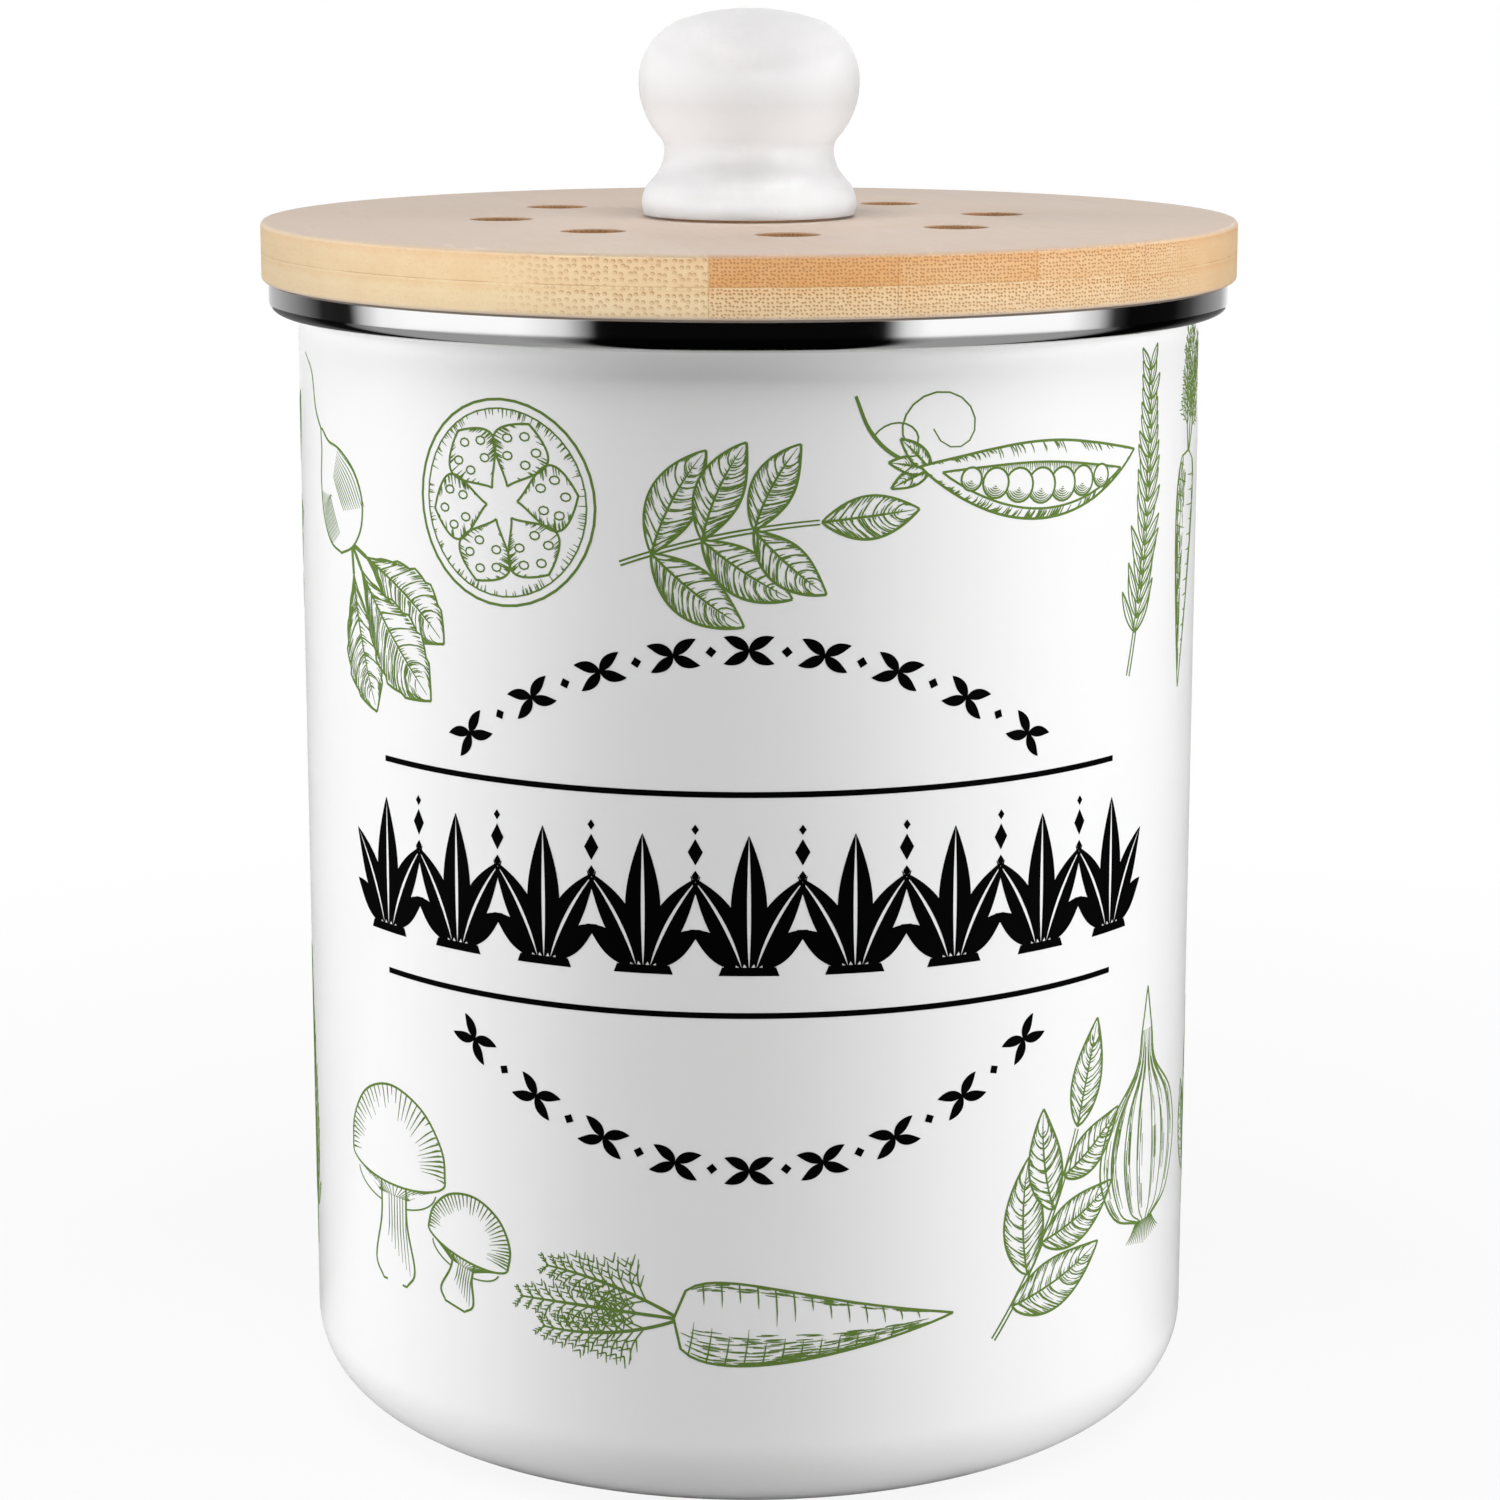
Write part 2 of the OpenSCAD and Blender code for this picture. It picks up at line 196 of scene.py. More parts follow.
def edit(kind, action="SELECT"):
    """Goes into edit mode, with all elements of one kind selected or none."""
    bpy.ops.object.mode_set(mode="EDIT")
    bpy.ops.mesh.select_mode(type=kind)
    bpy.ops.mesh.select_all(action=action)


def weld(distance=MM / 1000):
    """Merges all vertices that lie within a distance."""
    bpy.ops.mesh.select_all(action="SELECT")
    bpy.ops.mesh.remove_doubles(threshold=distance)


def arc(centre, radius, start, end, steps=12):
    """Points of an arc in the (radius, height) plane, from one angle to another in degrees."""
    angles = [math.radians(start + (end - start) * i / steps) for i in range(steps + 1)]
    return [(centre[0] + radius * math.cos(a), centre[1] + radius * math.sin(a)) for a in angles]


def lathe(name, outline, steps=256, closed=True):
    """Extrudes a vertex along an outline of (radius, height) points and spins it about the caddy's axis."""
    deselect()
    bpy.ops.mesh.primitive_plane_add(size=MM)
    edit("VERT")
    bpy.ops.mesh.merge(type="CENTER")
    points = [Vector((r, 0, z)) for r, z in outline]
    bpy.ops.transform.translate(value=points[0])
    for here, there in zip(points, points[1:] + points[:1] * closed):
        bpy.ops.mesh.extrude_region_move(TRANSFORM_OT_translate={"value": there - here})
    weld()
    bpy.ops.mesh.spin(steps=steps, angle=2 * math.pi, center=(0, 0, 0), axis=(0, 0, 1))
    weld()
    bpy.ops.mesh.normals_make_consistent(inside=False)
    return finished(named(name))


def finished(piece, angle=35):
    """Applies the piece's modifiers and place, and smooths it up to an angle."""
    activate(piece)
    for modifier in list(piece.modifiers):
        bpy.ops.object.modifier_apply(modifier=modifier.name)
    bpy.ops.object.transform_apply(location=True, rotation=True, scale=True)
    bpy.ops.object.shade_smooth_by_angle(angle=math.radians(angle))
    return piece


def disc(name, radius, low, high, vertices=256):
    """A cylinder on the caddy's axis between two heights."""
    deselect()
    bpy.ops.mesh.primitive_cylinder_add(
        vertices=vertices, radius=radius, depth=high - low, location=(0, 0, (low + high) / 2))
    return named(name)


def bevel_where(piece, test, width, segments=3):
    """Bevels the edges whose middle passes the test."""
    activate(piece)
    bpy.ops.object.transform_apply(location=True, rotation=False, scale=False)
    edit("EDGE", "DESELECT")
    mesh = bmesh.from_edit_mesh(piece.data)
    for edge in mesh.edges:
        edge.select_set(len(edge.link_faces) == 2 and edge.calc_face_angle(0) > 1
                        and test((edge.verts[0].co + edge.verts[1].co) / 2))
    bmesh.update_edit_mesh(piece.data)
    bpy.ops.mesh.bevel(offset=width, segments=segments, affect="EDGES")
    bpy.ops.object.mode_set(mode="OBJECT")


def drill(piece, cutter):
    """Cuts one piece with another, and drops the cutter."""
    activate(piece)
    cut = piece.modifiers.new("Cut", "BOOLEAN")
    cut.operation, cut.solver, cut.object = "DIFFERENCE", "EXACT", cutter
    bpy.ops.object.modifier_apply(modifier=cut.name)
    bpy.data.objects.remove(cutter)


def fit(piece, body, material, slot, *nodes):
    """Gives a finished piece its material, its body and the frame nodes that it stands for."""
    piece.data.materials.clear()
    piece.data.materials.append(material)
    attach(piece, body)
    if nodes:
        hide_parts(*nodes)


def dress(node, material):
    """Gives a frame node's own solid a material."""
    mesh = frame["nodes"][node].data
    mesh.materials.clear()
    mesh.materials.append(material)


# ---------------- shader maths


def operator(operation, swapped=False):
    """A method that joins a value and other numbers in a maths node."""
    def method(self, *others):
        numbers = (*others, self) if swapped else (self, *others)
        return self.graph.node("Math", {"operation": operation}, dict(enumerate(numbers)))

    return method


class Value:
    """A number on a node's output, with Python's arithmetic."""

    def __init__(self, graph, socket):
        self.graph, self.socket = graph, socket

    __add__ = __radd__ = operator("ADD")
    __sub__ = operator("SUBTRACT")
    __rsub__ = operator("SUBTRACT", swapped=True)
    __mul__ = __rmul__ = operator("MULTIPLY")
    __truediv__ = operator("DIVIDE")
    __pow__ = operator("POWER")
    __abs__ = operator("ABSOLUTE")
    floor = operator("FLOOR")
    arctan = operator("ARCTAN2")
    greater = operator("MAXIMUM")
    over = operator("GREATER_THAN")

    def above(self, edge, blur):
        """0 under an edge and 1 over it, with a soft step of the blur's width."""
        step = {0: self, 1: 1 / blur, 2: 0.5 - edge / blur}
        return self.graph.node("Math", {"operation": "MULTIPLY_ADD", "use_clamp": True}, step)


class Graph:
    """The nodes of one material, or of the world."""

    def __init__(self, owner):
        owner.use_nodes = True
        self.owner, self.tree = owner, owner.node_tree
        self.tree.nodes.clear()

    def node(self, kind, settings=None, inputs=None, output=0):
        """Adds a node, makes its settings, then fills its inputs with numbers, colours or links."""
        made = self.tree.nodes.new("ShaderNode" + kind)
        for key, value in (settings or {}).items():
            setattr(made, key, value)
        for key, value in (inputs or {}).items():
            if isinstance(value, Value):
                self.tree.links.new(value.socket, made.inputs[key])
            else:
                made.inputs[key].default_value = value
        return Value(self, made.outputs[output])

    def ramp(self, place, stops, interpolation="LINEAR"):
        """A grey, looked up at a place among (place, grey) stops."""
        grey = self.node("ValToRGB", {}, {"Fac": place})
        ramp = grey.socket.node.color_ramp
        ramp.interpolation = interpolation
        ramp.elements.remove(ramp.elements[-1])
        for index, (spot, tone) in enumerate(stops):
            stop = ramp.elements.new(spot) if index else ramp.elements[0]
            stop.position, stop.color = spot, (tone, tone, tone, 1)
        return grey

    def mix(self, factor, first, second):
        """One colour fading into another."""
        colours = {6: opaque(first), 7: opaque(second), 0: factor}
        return self.node("Mix", {"data_type": "RGBA"}, colours, output=2)

    def surface(self, **inputs):
        """The material, ended with a Principled shader. Inputs are its sockets' names in lower case."""
        sockets = {}
        for key, value in inputs.items():
            socket = key.replace("_", " ").title().replace("Ior", "IOR")
            sockets[socket] = opaque(value) if key.endswith("color") else value
        return self.close(self.node("BsdfPrincipled", {}, sockets))

    def close(self, shader, kind="OutputMaterial"):
        end = self.tree.nodes.new("ShaderNode" + kind)
        self.tree.links.new(shader.socket, end.inputs["Surface"])
        return self.owner

    def bump(self, height, distance, strength=1.0):
        return self.node("Bump", {}, {"Height": height, "Distance": distance, "Strength": strength})

    def place(self, turn=0.0, scale=(1, 1, 1)):
        """Object coordinates, turned about Z and scaled."""
        spot = self.node("TexCoord", {}, output=3)
        return self.node("Mapping", {}, {"Vector": spot, "Rotation": (0, 0, turn), "Scale": scale})

    def axes(self, vector):
        parts = self.node("SeparateXYZ", {}, {"Vector": vector}).socket.node
        return [Value(self, socket) for socket in parts.outputs]

    def noise(self, vector, scale, detail=2.0, roughness=0.5):
        return self.node("TexNoise", {}, {
            "Vector": vector, "Scale": scale, "Detail": detail, "Roughness": roughness})


def opaque(value):
    """A colour of three numbers with full alpha, and anything else as it is."""
    if isinstance(value, (Value, float, int)) or len(value) != 3:
        return value
    return (*value, 1.0)


def colours():
    return bpy.context.scene.caddy_colours


def sizes():
    return bpy.context.scene.caddy_sizes


# ---------------- finishes


BUNDLES_PER_MM = 1.5


def new_material(name):
    return Graph(bpy.data.materials.new(name))


def smooth_finish(name, colour, roughness, metallic=0.0, coat=0.0, ripple=0.0, ripple_scale=300):
    """A plain hard finish with a faint ripple and uneven polish."""
    graph = new_material(name)
    spot = graph.place()
    wave = graph.noise(spot, ripple_scale)
    polish = graph.noise(spot, 60, detail=4)
    return graph.surface(
        base_color=colour, metallic=metallic, coat_weight=coat, coat_roughness=0.04,
        roughness=polish * (roughness * 0.5) + roughness * 0.75,
        normal=graph.bump(wave, ripple * MM))


def porcelain(name, colour, bulb_shade_colour, bulb_shade_height):
    """Satin glaze over a slightly translucent body, with painted shade: a darker colour from a height up,
    on the bulb.
    """
    graph = new_material(name)
    wave = graph.noise(graph.place(), 120)
    up = graph.axes(graph.place())[2]
    return graph.surface(
        # Painted shade: the glaze turns darker from the given height up
        base_color=graph.mix(up.above(bulb_shade_height, 8 * MM), colour, bulb_shade_colour),
        roughness=wave * 0.1 + 0.4, specular_ior_level=0.25, subsurface_weight=1.0,
        subsurface_radius=(1.0, 0.95, 0.9), subsurface_scale=0.03, normal=graph.bump(wave, 0.03 * MM))


def brushed(name, colour, roughness=0.12, grooves=0.02):
    """Polished metal with faint turned lines round the caddy's axis."""
    graph = new_material(name)
    across, along, up = graph.axes(graph.place(scale=(1000, 1000, 1000)))
    radius = (across * across + along * along) ** 0.5
    rings = graph.node("CombineXYZ", {}, {0: radius * 9, 1: up * 9, 2: 0.0})
    lines = graph.noise(rings, 1.0, detail=3)
    return graph.surface(
        base_color=colour, metallic=1.0, roughness=lines * roughness + roughness * 0.4,
        normal=graph.bump(lines, grooves * MM, 0.4))


def bamboo(name, strips, glue=True):
    """Laminated bamboo: strips with fibre bundles that show as dark pits where they are cut across, each
    with a crescent of painted shade on one side.
    """
    look = colours()
    seams, tones, crowding = strips
    graph = new_material(name)
    turn = sizes().grain_turn
    across, along, up = graph.axes(graph.place(turn=-turn, scale=(1000, 1000, 1000)))
    half = LID_R / MM

    def per_strip(values):
        places = (0.0, *((seam + half) / (2 * half) for seam in seams))
        return graph.ramp(across / (2 * half) + 0.5, zip(places, values), "CONSTANT")

    def grain(scale, stretch):
        stretched = along * (scale * stretch)
        return graph.node("CombineXYZ", {}, {0: across * scale, 1: stretched, 2: up * scale})

    def bundles(rise):
        """Distance to the nearest fibre bundle from a point higher by the rise, both in bundle spacings."""
        cells = graph.node("CombineXYZ", {}, {
            0: across * per_mm + rise * 0.5, 1: (up + along * 0.01) * per_mm + rise, 2: 0.0})
        return graph.node("TexVoronoi", {"voronoi_dimensions": "2D"}, {
            "Vector": cells, "Scale": 1.0, "Randomness": 0.5})

    normal = graph.node("TexCoord", {}, output=1)
    facing_up = abs(graph.axes(normal)[2])
    fibre = (-math.sin(turn), math.cos(turn), 0.0)
    cut = abs(graph.node("VectorMath", {"operation": "DOT_PRODUCT"}, {0: normal, 1: fibre}, output=1))
    end_grain = cut.above(0.77, 0.14)
    per_mm = per_strip(crowding) * BUNDLES_PER_MM
    outer = (up - CAN_TOP / MM) / 5
    outer = outer - outer.floor()

    pit = 1 - bundles(0.0).above(0.3, 0.14)
    # Partly painted shade: a darker crescent on one side of each fibre bundle's pit stands for the shade in
    # the dent; the pit's own dark colour is real
    painted_pit_shade = pit * bundles(per_strip(crowding) * 0.2).above(0.26, 0.14)
    weight = per_strip(crowding) * (outer * 0.5 + 0.6)
    streaks = graph.noise(grain(0.35, 0.02), 1.0, detail=5)
    threads = graph.noise(grain(3.5, 0.008), 1.0, detail=3)
    clouds = graph.noise(grain(0.05, 0.6), 1.0, detail=2)

    seam_line = None
    for seam in seams:
        line = 1 - abs(across - seam).above(0.08, 0.12)
        seam_line = line if seam_line is None else seam_line.greater(line)
    if glue:
        glue_line = 1 - abs(up - GLUE_Z / MM).above(0.07, 0.1)
        seam_line = seam_line.greater(glue_line * streaks.above(0.42, 0.3))

    radius = (across * across + along * along) ** 0.5
    # Darker, warmer colour on the walls inside the vents and the screw recess: faces that don't face up,
    # within 70 mm of the axis
    hole_wall_tint = (1 - facing_up).above(0.15, 0.2) * (1 - radius.over(70))
    skin = outer.above(0.85, 0.25)
    warmth = per_strip(tones) + (streaks - 0.5) * 0.35 + (clouds - 0.5) * 0.3 + skin * 0.2 + hole_wall_tint * 0.9
    base = graph.mix(warmth, look.bamboo[:], look.caramel[:])
    marks = (painted_pit_shade + pit * 0.35) * (end_grain * weight + 0.03)
    threadlike = threads.above(0.6, 0.12) * 0.1
    dark = (marks + threadlike).greater(seam_line * 0.55)
    base = graph.mix(dark, base, look.pore[:])
    # The walls inside the vents and the recess take more of the pore colour
    base = graph.mix(hole_wall_tint * (pit * 0.5 + 0.3), base, look.pore[:])
    # Painted shade: darkens faces where the fibres run along the surface, which darkens the lid's left and
    # right sides
    base = graph.mix((1 - cut.above(0.5, 0.5)) * 0.25, base, look.painted_side_shade[:])
    # Painted sheen: the flat top and bottom faces fade into a paler, greyer colour, standing for their
    # grazing reflection
    base = graph.mix(facing_up * (0.96 - threads.above(0.5, 0.4) * 0.16), base, look.painted_face_sheen[:])
    height = threads * 0.15 - painted_pit_shade * end_grain * 0.6 - seam_line * 0.6
    return graph.surface(
        base_color=base, roughness=threads * 0.1 + 0.5, specular_ior_level=0.25,
        normal=graph.bump(height, 0.1 * MM, 0.7))


def felt(name, colour):
    """Charcoal felt: matted fibres with a dull sheen."""
    graph = new_material(name)
    spot = graph.place()
    fluff = graph.noise(spot, 900, detail=6, roughness=0.7)
    mats = graph.noise(spot, 160, detail=3)
    tint = graph.mix(fluff.above(0.5, 0.5), colour, [c * 4 for c in colour])
    return graph.surface(
        base_color=tint, roughness=0.95, sheen_weight=0.3, specular_ior_level=0.2,
        normal=graph.bump(fluff + mats, 0.6 * MM))


def ink(name, colour):
    """Print fired onto the enamel: slightly uneven, and duller than the enamel."""
    graph = new_material(name)
    depth = graph.noise(graph.place(), 700, detail=3)
    tint = graph.mix(depth, [c * 0.85 for c in colour], [min(1, c * 1.15) for c in colour])
    return graph.surface(base_color=tint, roughness=0.5, specular_ior_level=0.02)


# ---------------- turned pieces


# From the vents' centres out to the filter's pocket
VENT_INSET = 15.8 * MM
# The strips of each board from left to right: the glue seams between them, in millimetres across the grain
# from the middle of the lid, then the strips' tones and how crowded their fibre bundles are
UPPER_STRIPS = ((-31.1, -0.5, 24.8, 48.4), (0.22, 0.95, 0.75, 0.55, 0.5), (0.6, 1.05, 1.05, 1.0, 1.05))
LOWER_STRIPS = ((-31.1, -0.5, 43.4), (0.1, 0.22, 0.28, 0.42), (0.6, 1.0, 1.0, 1.0))
# Height on the knob from which painted shade darkens its glaze, over the bulb
BULB_SHADE_FROM = 17 * MM


def can_outline():
    """Drawn steel can: dished base, straight wall, and a flange bent out and then down."""
    s = sizes()
    wall = CAN_R - MOUTH_R
    corner = (CAN_R - s.corner, s.corner)
    foot = CAN_R - s.corner - s.foot
    round_bend = s.bend + wall
    flange_r = reach("enamel_body")
    flange_z = top("enamel_body")
    skirt = bottom("rim_band") + s.hem + s.band_gap
    mouth = (CAN_R + s.bend, flange_z - round_bend)
    edge = (flange_r - round_bend, flange_z - round_bend)
    return [
        (0, s.base_rise), (foot - s.base_slope, s.base_rise), (foot, 0),
        *arc(corner, s.corner, -90, 0, 20), *arc(mouth, s.bend, 180, 90, 6), *arc(edge, s.bend, 90, 0, 6),
        (flange_r - wall, skirt), (flange_r, skirt),
        *arc(edge, round_bend, 0, 90), *arc(mouth, round_bend, 90, 180),
        *arc(corner, s.corner - wall, 0, -90, 20),
        (foot, wall), (foot - s.base_slope, s.base_rise + wall), (0, s.base_rise + wall),
    ]


def rim_outline():
    """Stainless strip rolled over the flange and hemmed in against the wall."""
    s = sizes()
    low = bottom("rim_band")
    crown_r = s.band_bend + s.band
    crown = (RIM_R - crown_r, CAN_TOP - crown_r)
    hem = (RIM_R - s.hem, low + s.hem)
    return [
        (CAN_R + s.bend, CAN_TOP - s.band), (CAN_R + s.bend, CAN_TOP),
        *arc(crown, crown_r, 90, 0), *arc(hem, s.hem, 0, -90),
        (CAN_R + s.hem_gap, low), (CAN_R + s.hem_gap, low + s.band),
        *arc(hem, s.hem - s.band, -90, 0), *arc(crown, s.band_bend, 0, 90),
    ]


class Maker(bpy.types.Operator):
    """Adds one kind of the caddy's pieces"""

    bl_options = {"REGISTER", "UNDO"}

    def execute(self, context):
        self.make(sizes(), colours())
        return {"FINISHED"}


class CADDY_OT_can(Maker):
    """Turn the enamelled can and its stainless rim"""

    bl_idname = "caddy.can"
    bl_label = "Can and rim"

    def make(self, s, look):
        can = lathe("can_wall", can_outline())
        enamel = smooth_finish("enamel", look.enamel[:], 0.22, ripple=0.02)
        fit(can, "can", enamel, "enamel", "enamel_body")
        rim = lathe("rim_strip", rim_outline())
        polished = smooth_finish(
            "polished_steel", look.steel[:], 0.07, metallic=1.0, ripple=0.004, ripple_scale=90)
        fit(rim, "can", polished, "stainless", "rim_band")


class CADDY_OT_lid(Maker):
    """Cut the two bamboo plies, drill the vents and the screw's recess, and ease the edges"""

    bl_idname = "caddy.lid"
    bl_label = "Bamboo lid"

    def make(self, s, look):
        plies = [
            ("lid_upper_board", "lid_top_ply", GLUE_Z, LID_TOP, LID_TOP, UPPER_STRIPS),
            ("lid_lower_board", "lid_bottom_ply", CAN_TOP, GLUE_Z, CAN_TOP, LOWER_STRIPS),
        ]
        for name, node, low, high, face, strips in plies:
            def on_face(p, span=math.inf):
                return abs(p.z - face) < MM / 100 and math.hypot(p.x, p.y) < span

            board = disc(name, LID_R, low, high)
            bevel_where(board, on_face, s.lid_edge, 5)
            drill(board, self.vent_drill(s))
            drill(board, disc("screw_drill", s.recess / 2, CAN_TOP - MM, CAN_TOP + s.recess_depth, 64))
            bevel_where(board, lambda p: on_face(p, POCKET_R), s.vent_edge)
            finished(board)
            fit(board, "lid", bamboo(name + "_bamboo", strips), "bamboo", node)

    def vent_drill(self, s):
        deselect()
        circle_r = POCKET_R - VENT_INSET
        for i in range(s.vents):
            angle = s.lid_turn + 2 * math.pi * i / s.vents
            bpy.ops.mesh.primitive_cylinder_add(
                vertices=64, radius=s.vent / 2, depth=3 * (LID_TOP - CAN_TOP),
                location=(circle_r * math.cos(angle), circle_r * math.sin(angle), GLUE_Z))
            bpy.context.active_object.name = "vent_drill"
        for piece in bpy.data.objects:
            piece.select_set(piece.name.startswith("vent_drill"))
        bpy.ops.object.join()
        return bpy.context.active_object


def touching(waist, waist_r, side_r, side_z):
    """The arc that swells from a waist to a radius at a height: its centre, radius and start in degrees."""
    gap, rise = waist[0] - side_r, waist[1] - side_z
    radius = (gap ** 2 + rise ** 2 - waist_r ** 2) / (2 * (waist_r - gap))
    centre = (side_r - radius, side_z)
    return centre, radius, math.degrees(math.atan2(rise, waist[0] - centre[0]))


def knob_outline():
    """The knob's tangent arcs, from its foot up through the neck and the bulb to the dome, and its bore."""
    base, peak = bottom("knob"), top("knob")
    foot_r = reach("knob", high=base + 6 * MM)
    bulb_r = reach("knob")
    neck = 15.65 * MM
    foot_z, neck_z, bulb_z = base + 2.1 * MM, base + 12 * MM, peak - 13.3 * MM
    hollow_r, throat_r, shoulder_r = 8 * MM, 3 * MM, 12 * MM
    bore_r, bore = 5 * MM, 14 * MM

    hollow, throat = (neck + hollow_r, neck_z), (neck + throat_r, neck_z)
    foot, foot_arc, foot_turn = touching(hollow, hollow_r, foot_r, foot_z)
    bulb, bulb_arc, bulb_turn = touching(throat, throat_r, bulb_r, bulb_z)
    shoulder = (bulb_r - shoulder_r, bulb_z)
    crown = peak - bulb_z
    dome_arc = (shoulder[0] ** 2 + crown ** 2 - shoulder_r ** 2) / (2 * (crown - shoulder_r))
    dome = (0, peak - dome_arc)
    dome_turn = math.degrees(math.atan2(shoulder[1] - dome[1], shoulder[0]))
    start = -math.degrees(math.asin((foot_z - base) / foot_arc))
    return [
        (bore_r, base), *arc(foot, foot_arc, start, foot_turn, 16),
        *arc(hollow, hollow_r, 180 + foot_turn, 180, 12),
        *arc(throat, throat_r, 180, bulb_turn + 180, 10), *arc(bulb, bulb_arc, bulb_turn, 0, 16),
        *arc(shoulder, shoulder_r, 0, dome_turn, 20), *arc(dome, dome_arc, dome_turn, 90, 10),
        (0, base + bore), (bore_r, base + bore),
    ]


class CADDY_OT_knob(Maker):
    """Turn the glazed knob and finish its gasket"""

    bl_idname = "caddy.knob"
    bl_label = "Knob"

    def make(self, s, look):
        knob = lathe("knob_glazed", knob_outline(), 128)
        glaze = porcelain("white_glaze", look.glaze[:], look.painted_bulb_shade[:], LID_TOP + BULB_SHADE_FROM)
        fit(knob, "lid", glaze, "glazed_knob", "knob")
        # The gasket is dark partly as painted shade for the contact shadow under the knob
        dress("knob_gasket", smooth_finish("gasket_painted_shade", look.gasket[:], 0.6))


class CADDY_OT_underside(Maker):
    """Finish the plug, the seal, the filter, its clips and the screws under the lid"""

    bl_idname = "caddy.underside"
    bl_label = "Lid underside"

    def make(self, s, look):
        dress("lid_plug_ring", bamboo("plug_bamboo", LOWER_STRIPS, glue=False))
        dress("lid_seal", smooth_finish("seal_silicone", look.silicone[:], 0.35, ripple=0.01))
        dress("charcoal_filter", felt("charcoal_felt", look.charcoal[:]))
        dress("knob_insert", brushed("turned_brass", look.brass[:]))
        steel = brushed("screw_steel", look.steel[:])
        for node in ("knob_screw", "knob_washer"):
            dress(node, steel)
        pressed = smooth_finish("pressed_steel", look.steel[:], 0.25, metallic=1.0, ripple=0.01)
        for i in range(1, 5):
            dress(f"clip_screw_{i}", steel)
            dress(f"filter_clip_{i}", pressed)


# ---------------- print


def smooth_path(points, steps=8):
    """A Catmull-Rom curve through a few points, as complex numbers."""
    ends = [2 * points[0] - points[1], *points, 2 * points[-1] - points[-2]]
    path = []
    for a, b, c, d in zip(ends, ends[1:], ends[2:], ends[3:]):
        for k in range(steps):
            t = k / steps
            path.append(0.5 * (2 * b + (c - a) * t + (2 * a - 5 * b + 4 * c - d) * t * t
                               + (3 * b - a - 3 * c + d) * t ** 3))
    return path + [points[-1]]


def ring_path(centre, radius, start=0, end=360, squash=1.0, steps=28):
    """Part of a circle or an ellipse, from one angle to another in degrees."""
    turns = [math.radians(start + (end - start) * k / steps) for k in range(steps + 1)]
    return [centre + radius * complex(math.cos(a), squash * math.sin(a)) for a in turns]


def turned(degrees):
    """The complex number that turns a flat point by an angle."""
    turn = math.radians(degrees)
    return complex(math.cos(turn), math.sin(turn))


def inside(p, outline):
    """Whether a flat point lies in a closed outline."""
    odd = False
    for a, b in zip(outline, outline[1:] + outline[:1]):
        if (a.imag > p.imag) != (b.imag > p.imag):
            odd ^= p.real < (b.real - a.real) * (p.imag - a.imag) / (b.imag - a.imag) + a.real
    return odd


class Pen:
    """Ink strokes on the flat print, in millimetres as complex numbers: real along the wall, imaginary up.

    What is drawn first lies in front: each closed shape that it masks hides later strokes.
    """

    def __init__(self, seed):
        self.random = random.Random(seed)
        self.vary = self.random.uniform
        self.points, self.faces, self.masks = [], [], []
        self.origin, self.scale = 0, 1

    def move(self, azimuth, height, turn=0, size=1.0):
        """Places the next drawing on the wall."""
        self.origin = complex(math.radians(azimuth) * CAN_R / MM, height)
        self.scale = size * turned(turn)
        self.masks = []

    def shift(self, step, turn, size):
        """Moves on within a drawing, and leaves its masks where they are."""
        way = size * turned(turn)
        masks, self.masks = self.masks, []
        for *_, outline in masks:
            self.mask([(p - step) / way for p in outline])
        self.origin += self.scale * step
        self.scale *= way

    def mask(self, outline):
        xs, ys = [p.real for p in outline], [p.imag for p in outline]
        self.masks.append((min(xs), max(xs), min(ys), max(ys), outline))

    def hidden(self, p):
        return any(left < p.real < right and low < p.imag < high and inside(p, outline)
                   for left, right, low, high, outline in self.masks)

    def border(self, seen, unseen):
        """Where a stroke passes behind a mask, between a seen and an unseen point."""
        for _ in range(5):
            middle = (seen + unseen) / 2
            if self.hidden(middle):
                unseen = middle
            else:
                seen = middle
        return seen

    def curve(self, points, width, start=1, end=1, steps=8):
        self.stroke(smooth_path(points, steps), width, start, end)

    def hatch(self, path, start=1, end=0.2):
        self.stroke(path, HATCH, start, end)

    def stroke(self, path, width, start=1, end=1):
        """Draws the visible runs of a path, thinned towards its ends to these shares of the width."""
        last = len(path) - 1
        run, before = [], None
        for k, p in enumerate(path):
            t = k / last
            half = width / 2 * min(1, start + (1 - start) * t / 0.2, end + (1 - end) * (1 - t) / 0.4)
            if self.hidden(p):
                if run:
                    self.ribbon(run + [(self.border(run[-1][0], p), half)])
                run = []
            else:
                if before is not None and not run:
                    run.append((self.border(p, before), half))
                run.append((p, half))
            before = p
        self.ribbon(run)

    def ribbon(self, run):
        if len(run) < 2:
            return
        first = len(self.points)
        for k, (p, half) in enumerate(run):
            along = run[min(k + 1, len(run) - 1)][0] - run[max(k - 1, 0)][0]
            side = 1j * along * self.scale
            side *= half / (abs(side) or 1)
            place = self.origin + p * self.scale
            self.points += [place - side, place + side]
        self.faces += [(i, i + 2, i + 3, i + 1) for i in range(first, len(self.points) - 2, 2)]

    def fill(self, left, right, columns=4):
        """A solid patch of ink between two edges with as many points each."""
        first = len(self.points)
        wide = columns + 1
        for a, b in zip(left, right):
            self.points += [self.origin + (a + (b - a) * c / columns) * self.scale for c in range(wide)]
        for row in range(len(left) - 1):
            for i in range(first + row * wide, first + row * wide + columns):
                self.faces.append((i, i + 1, i + wide + 1, i + wide))


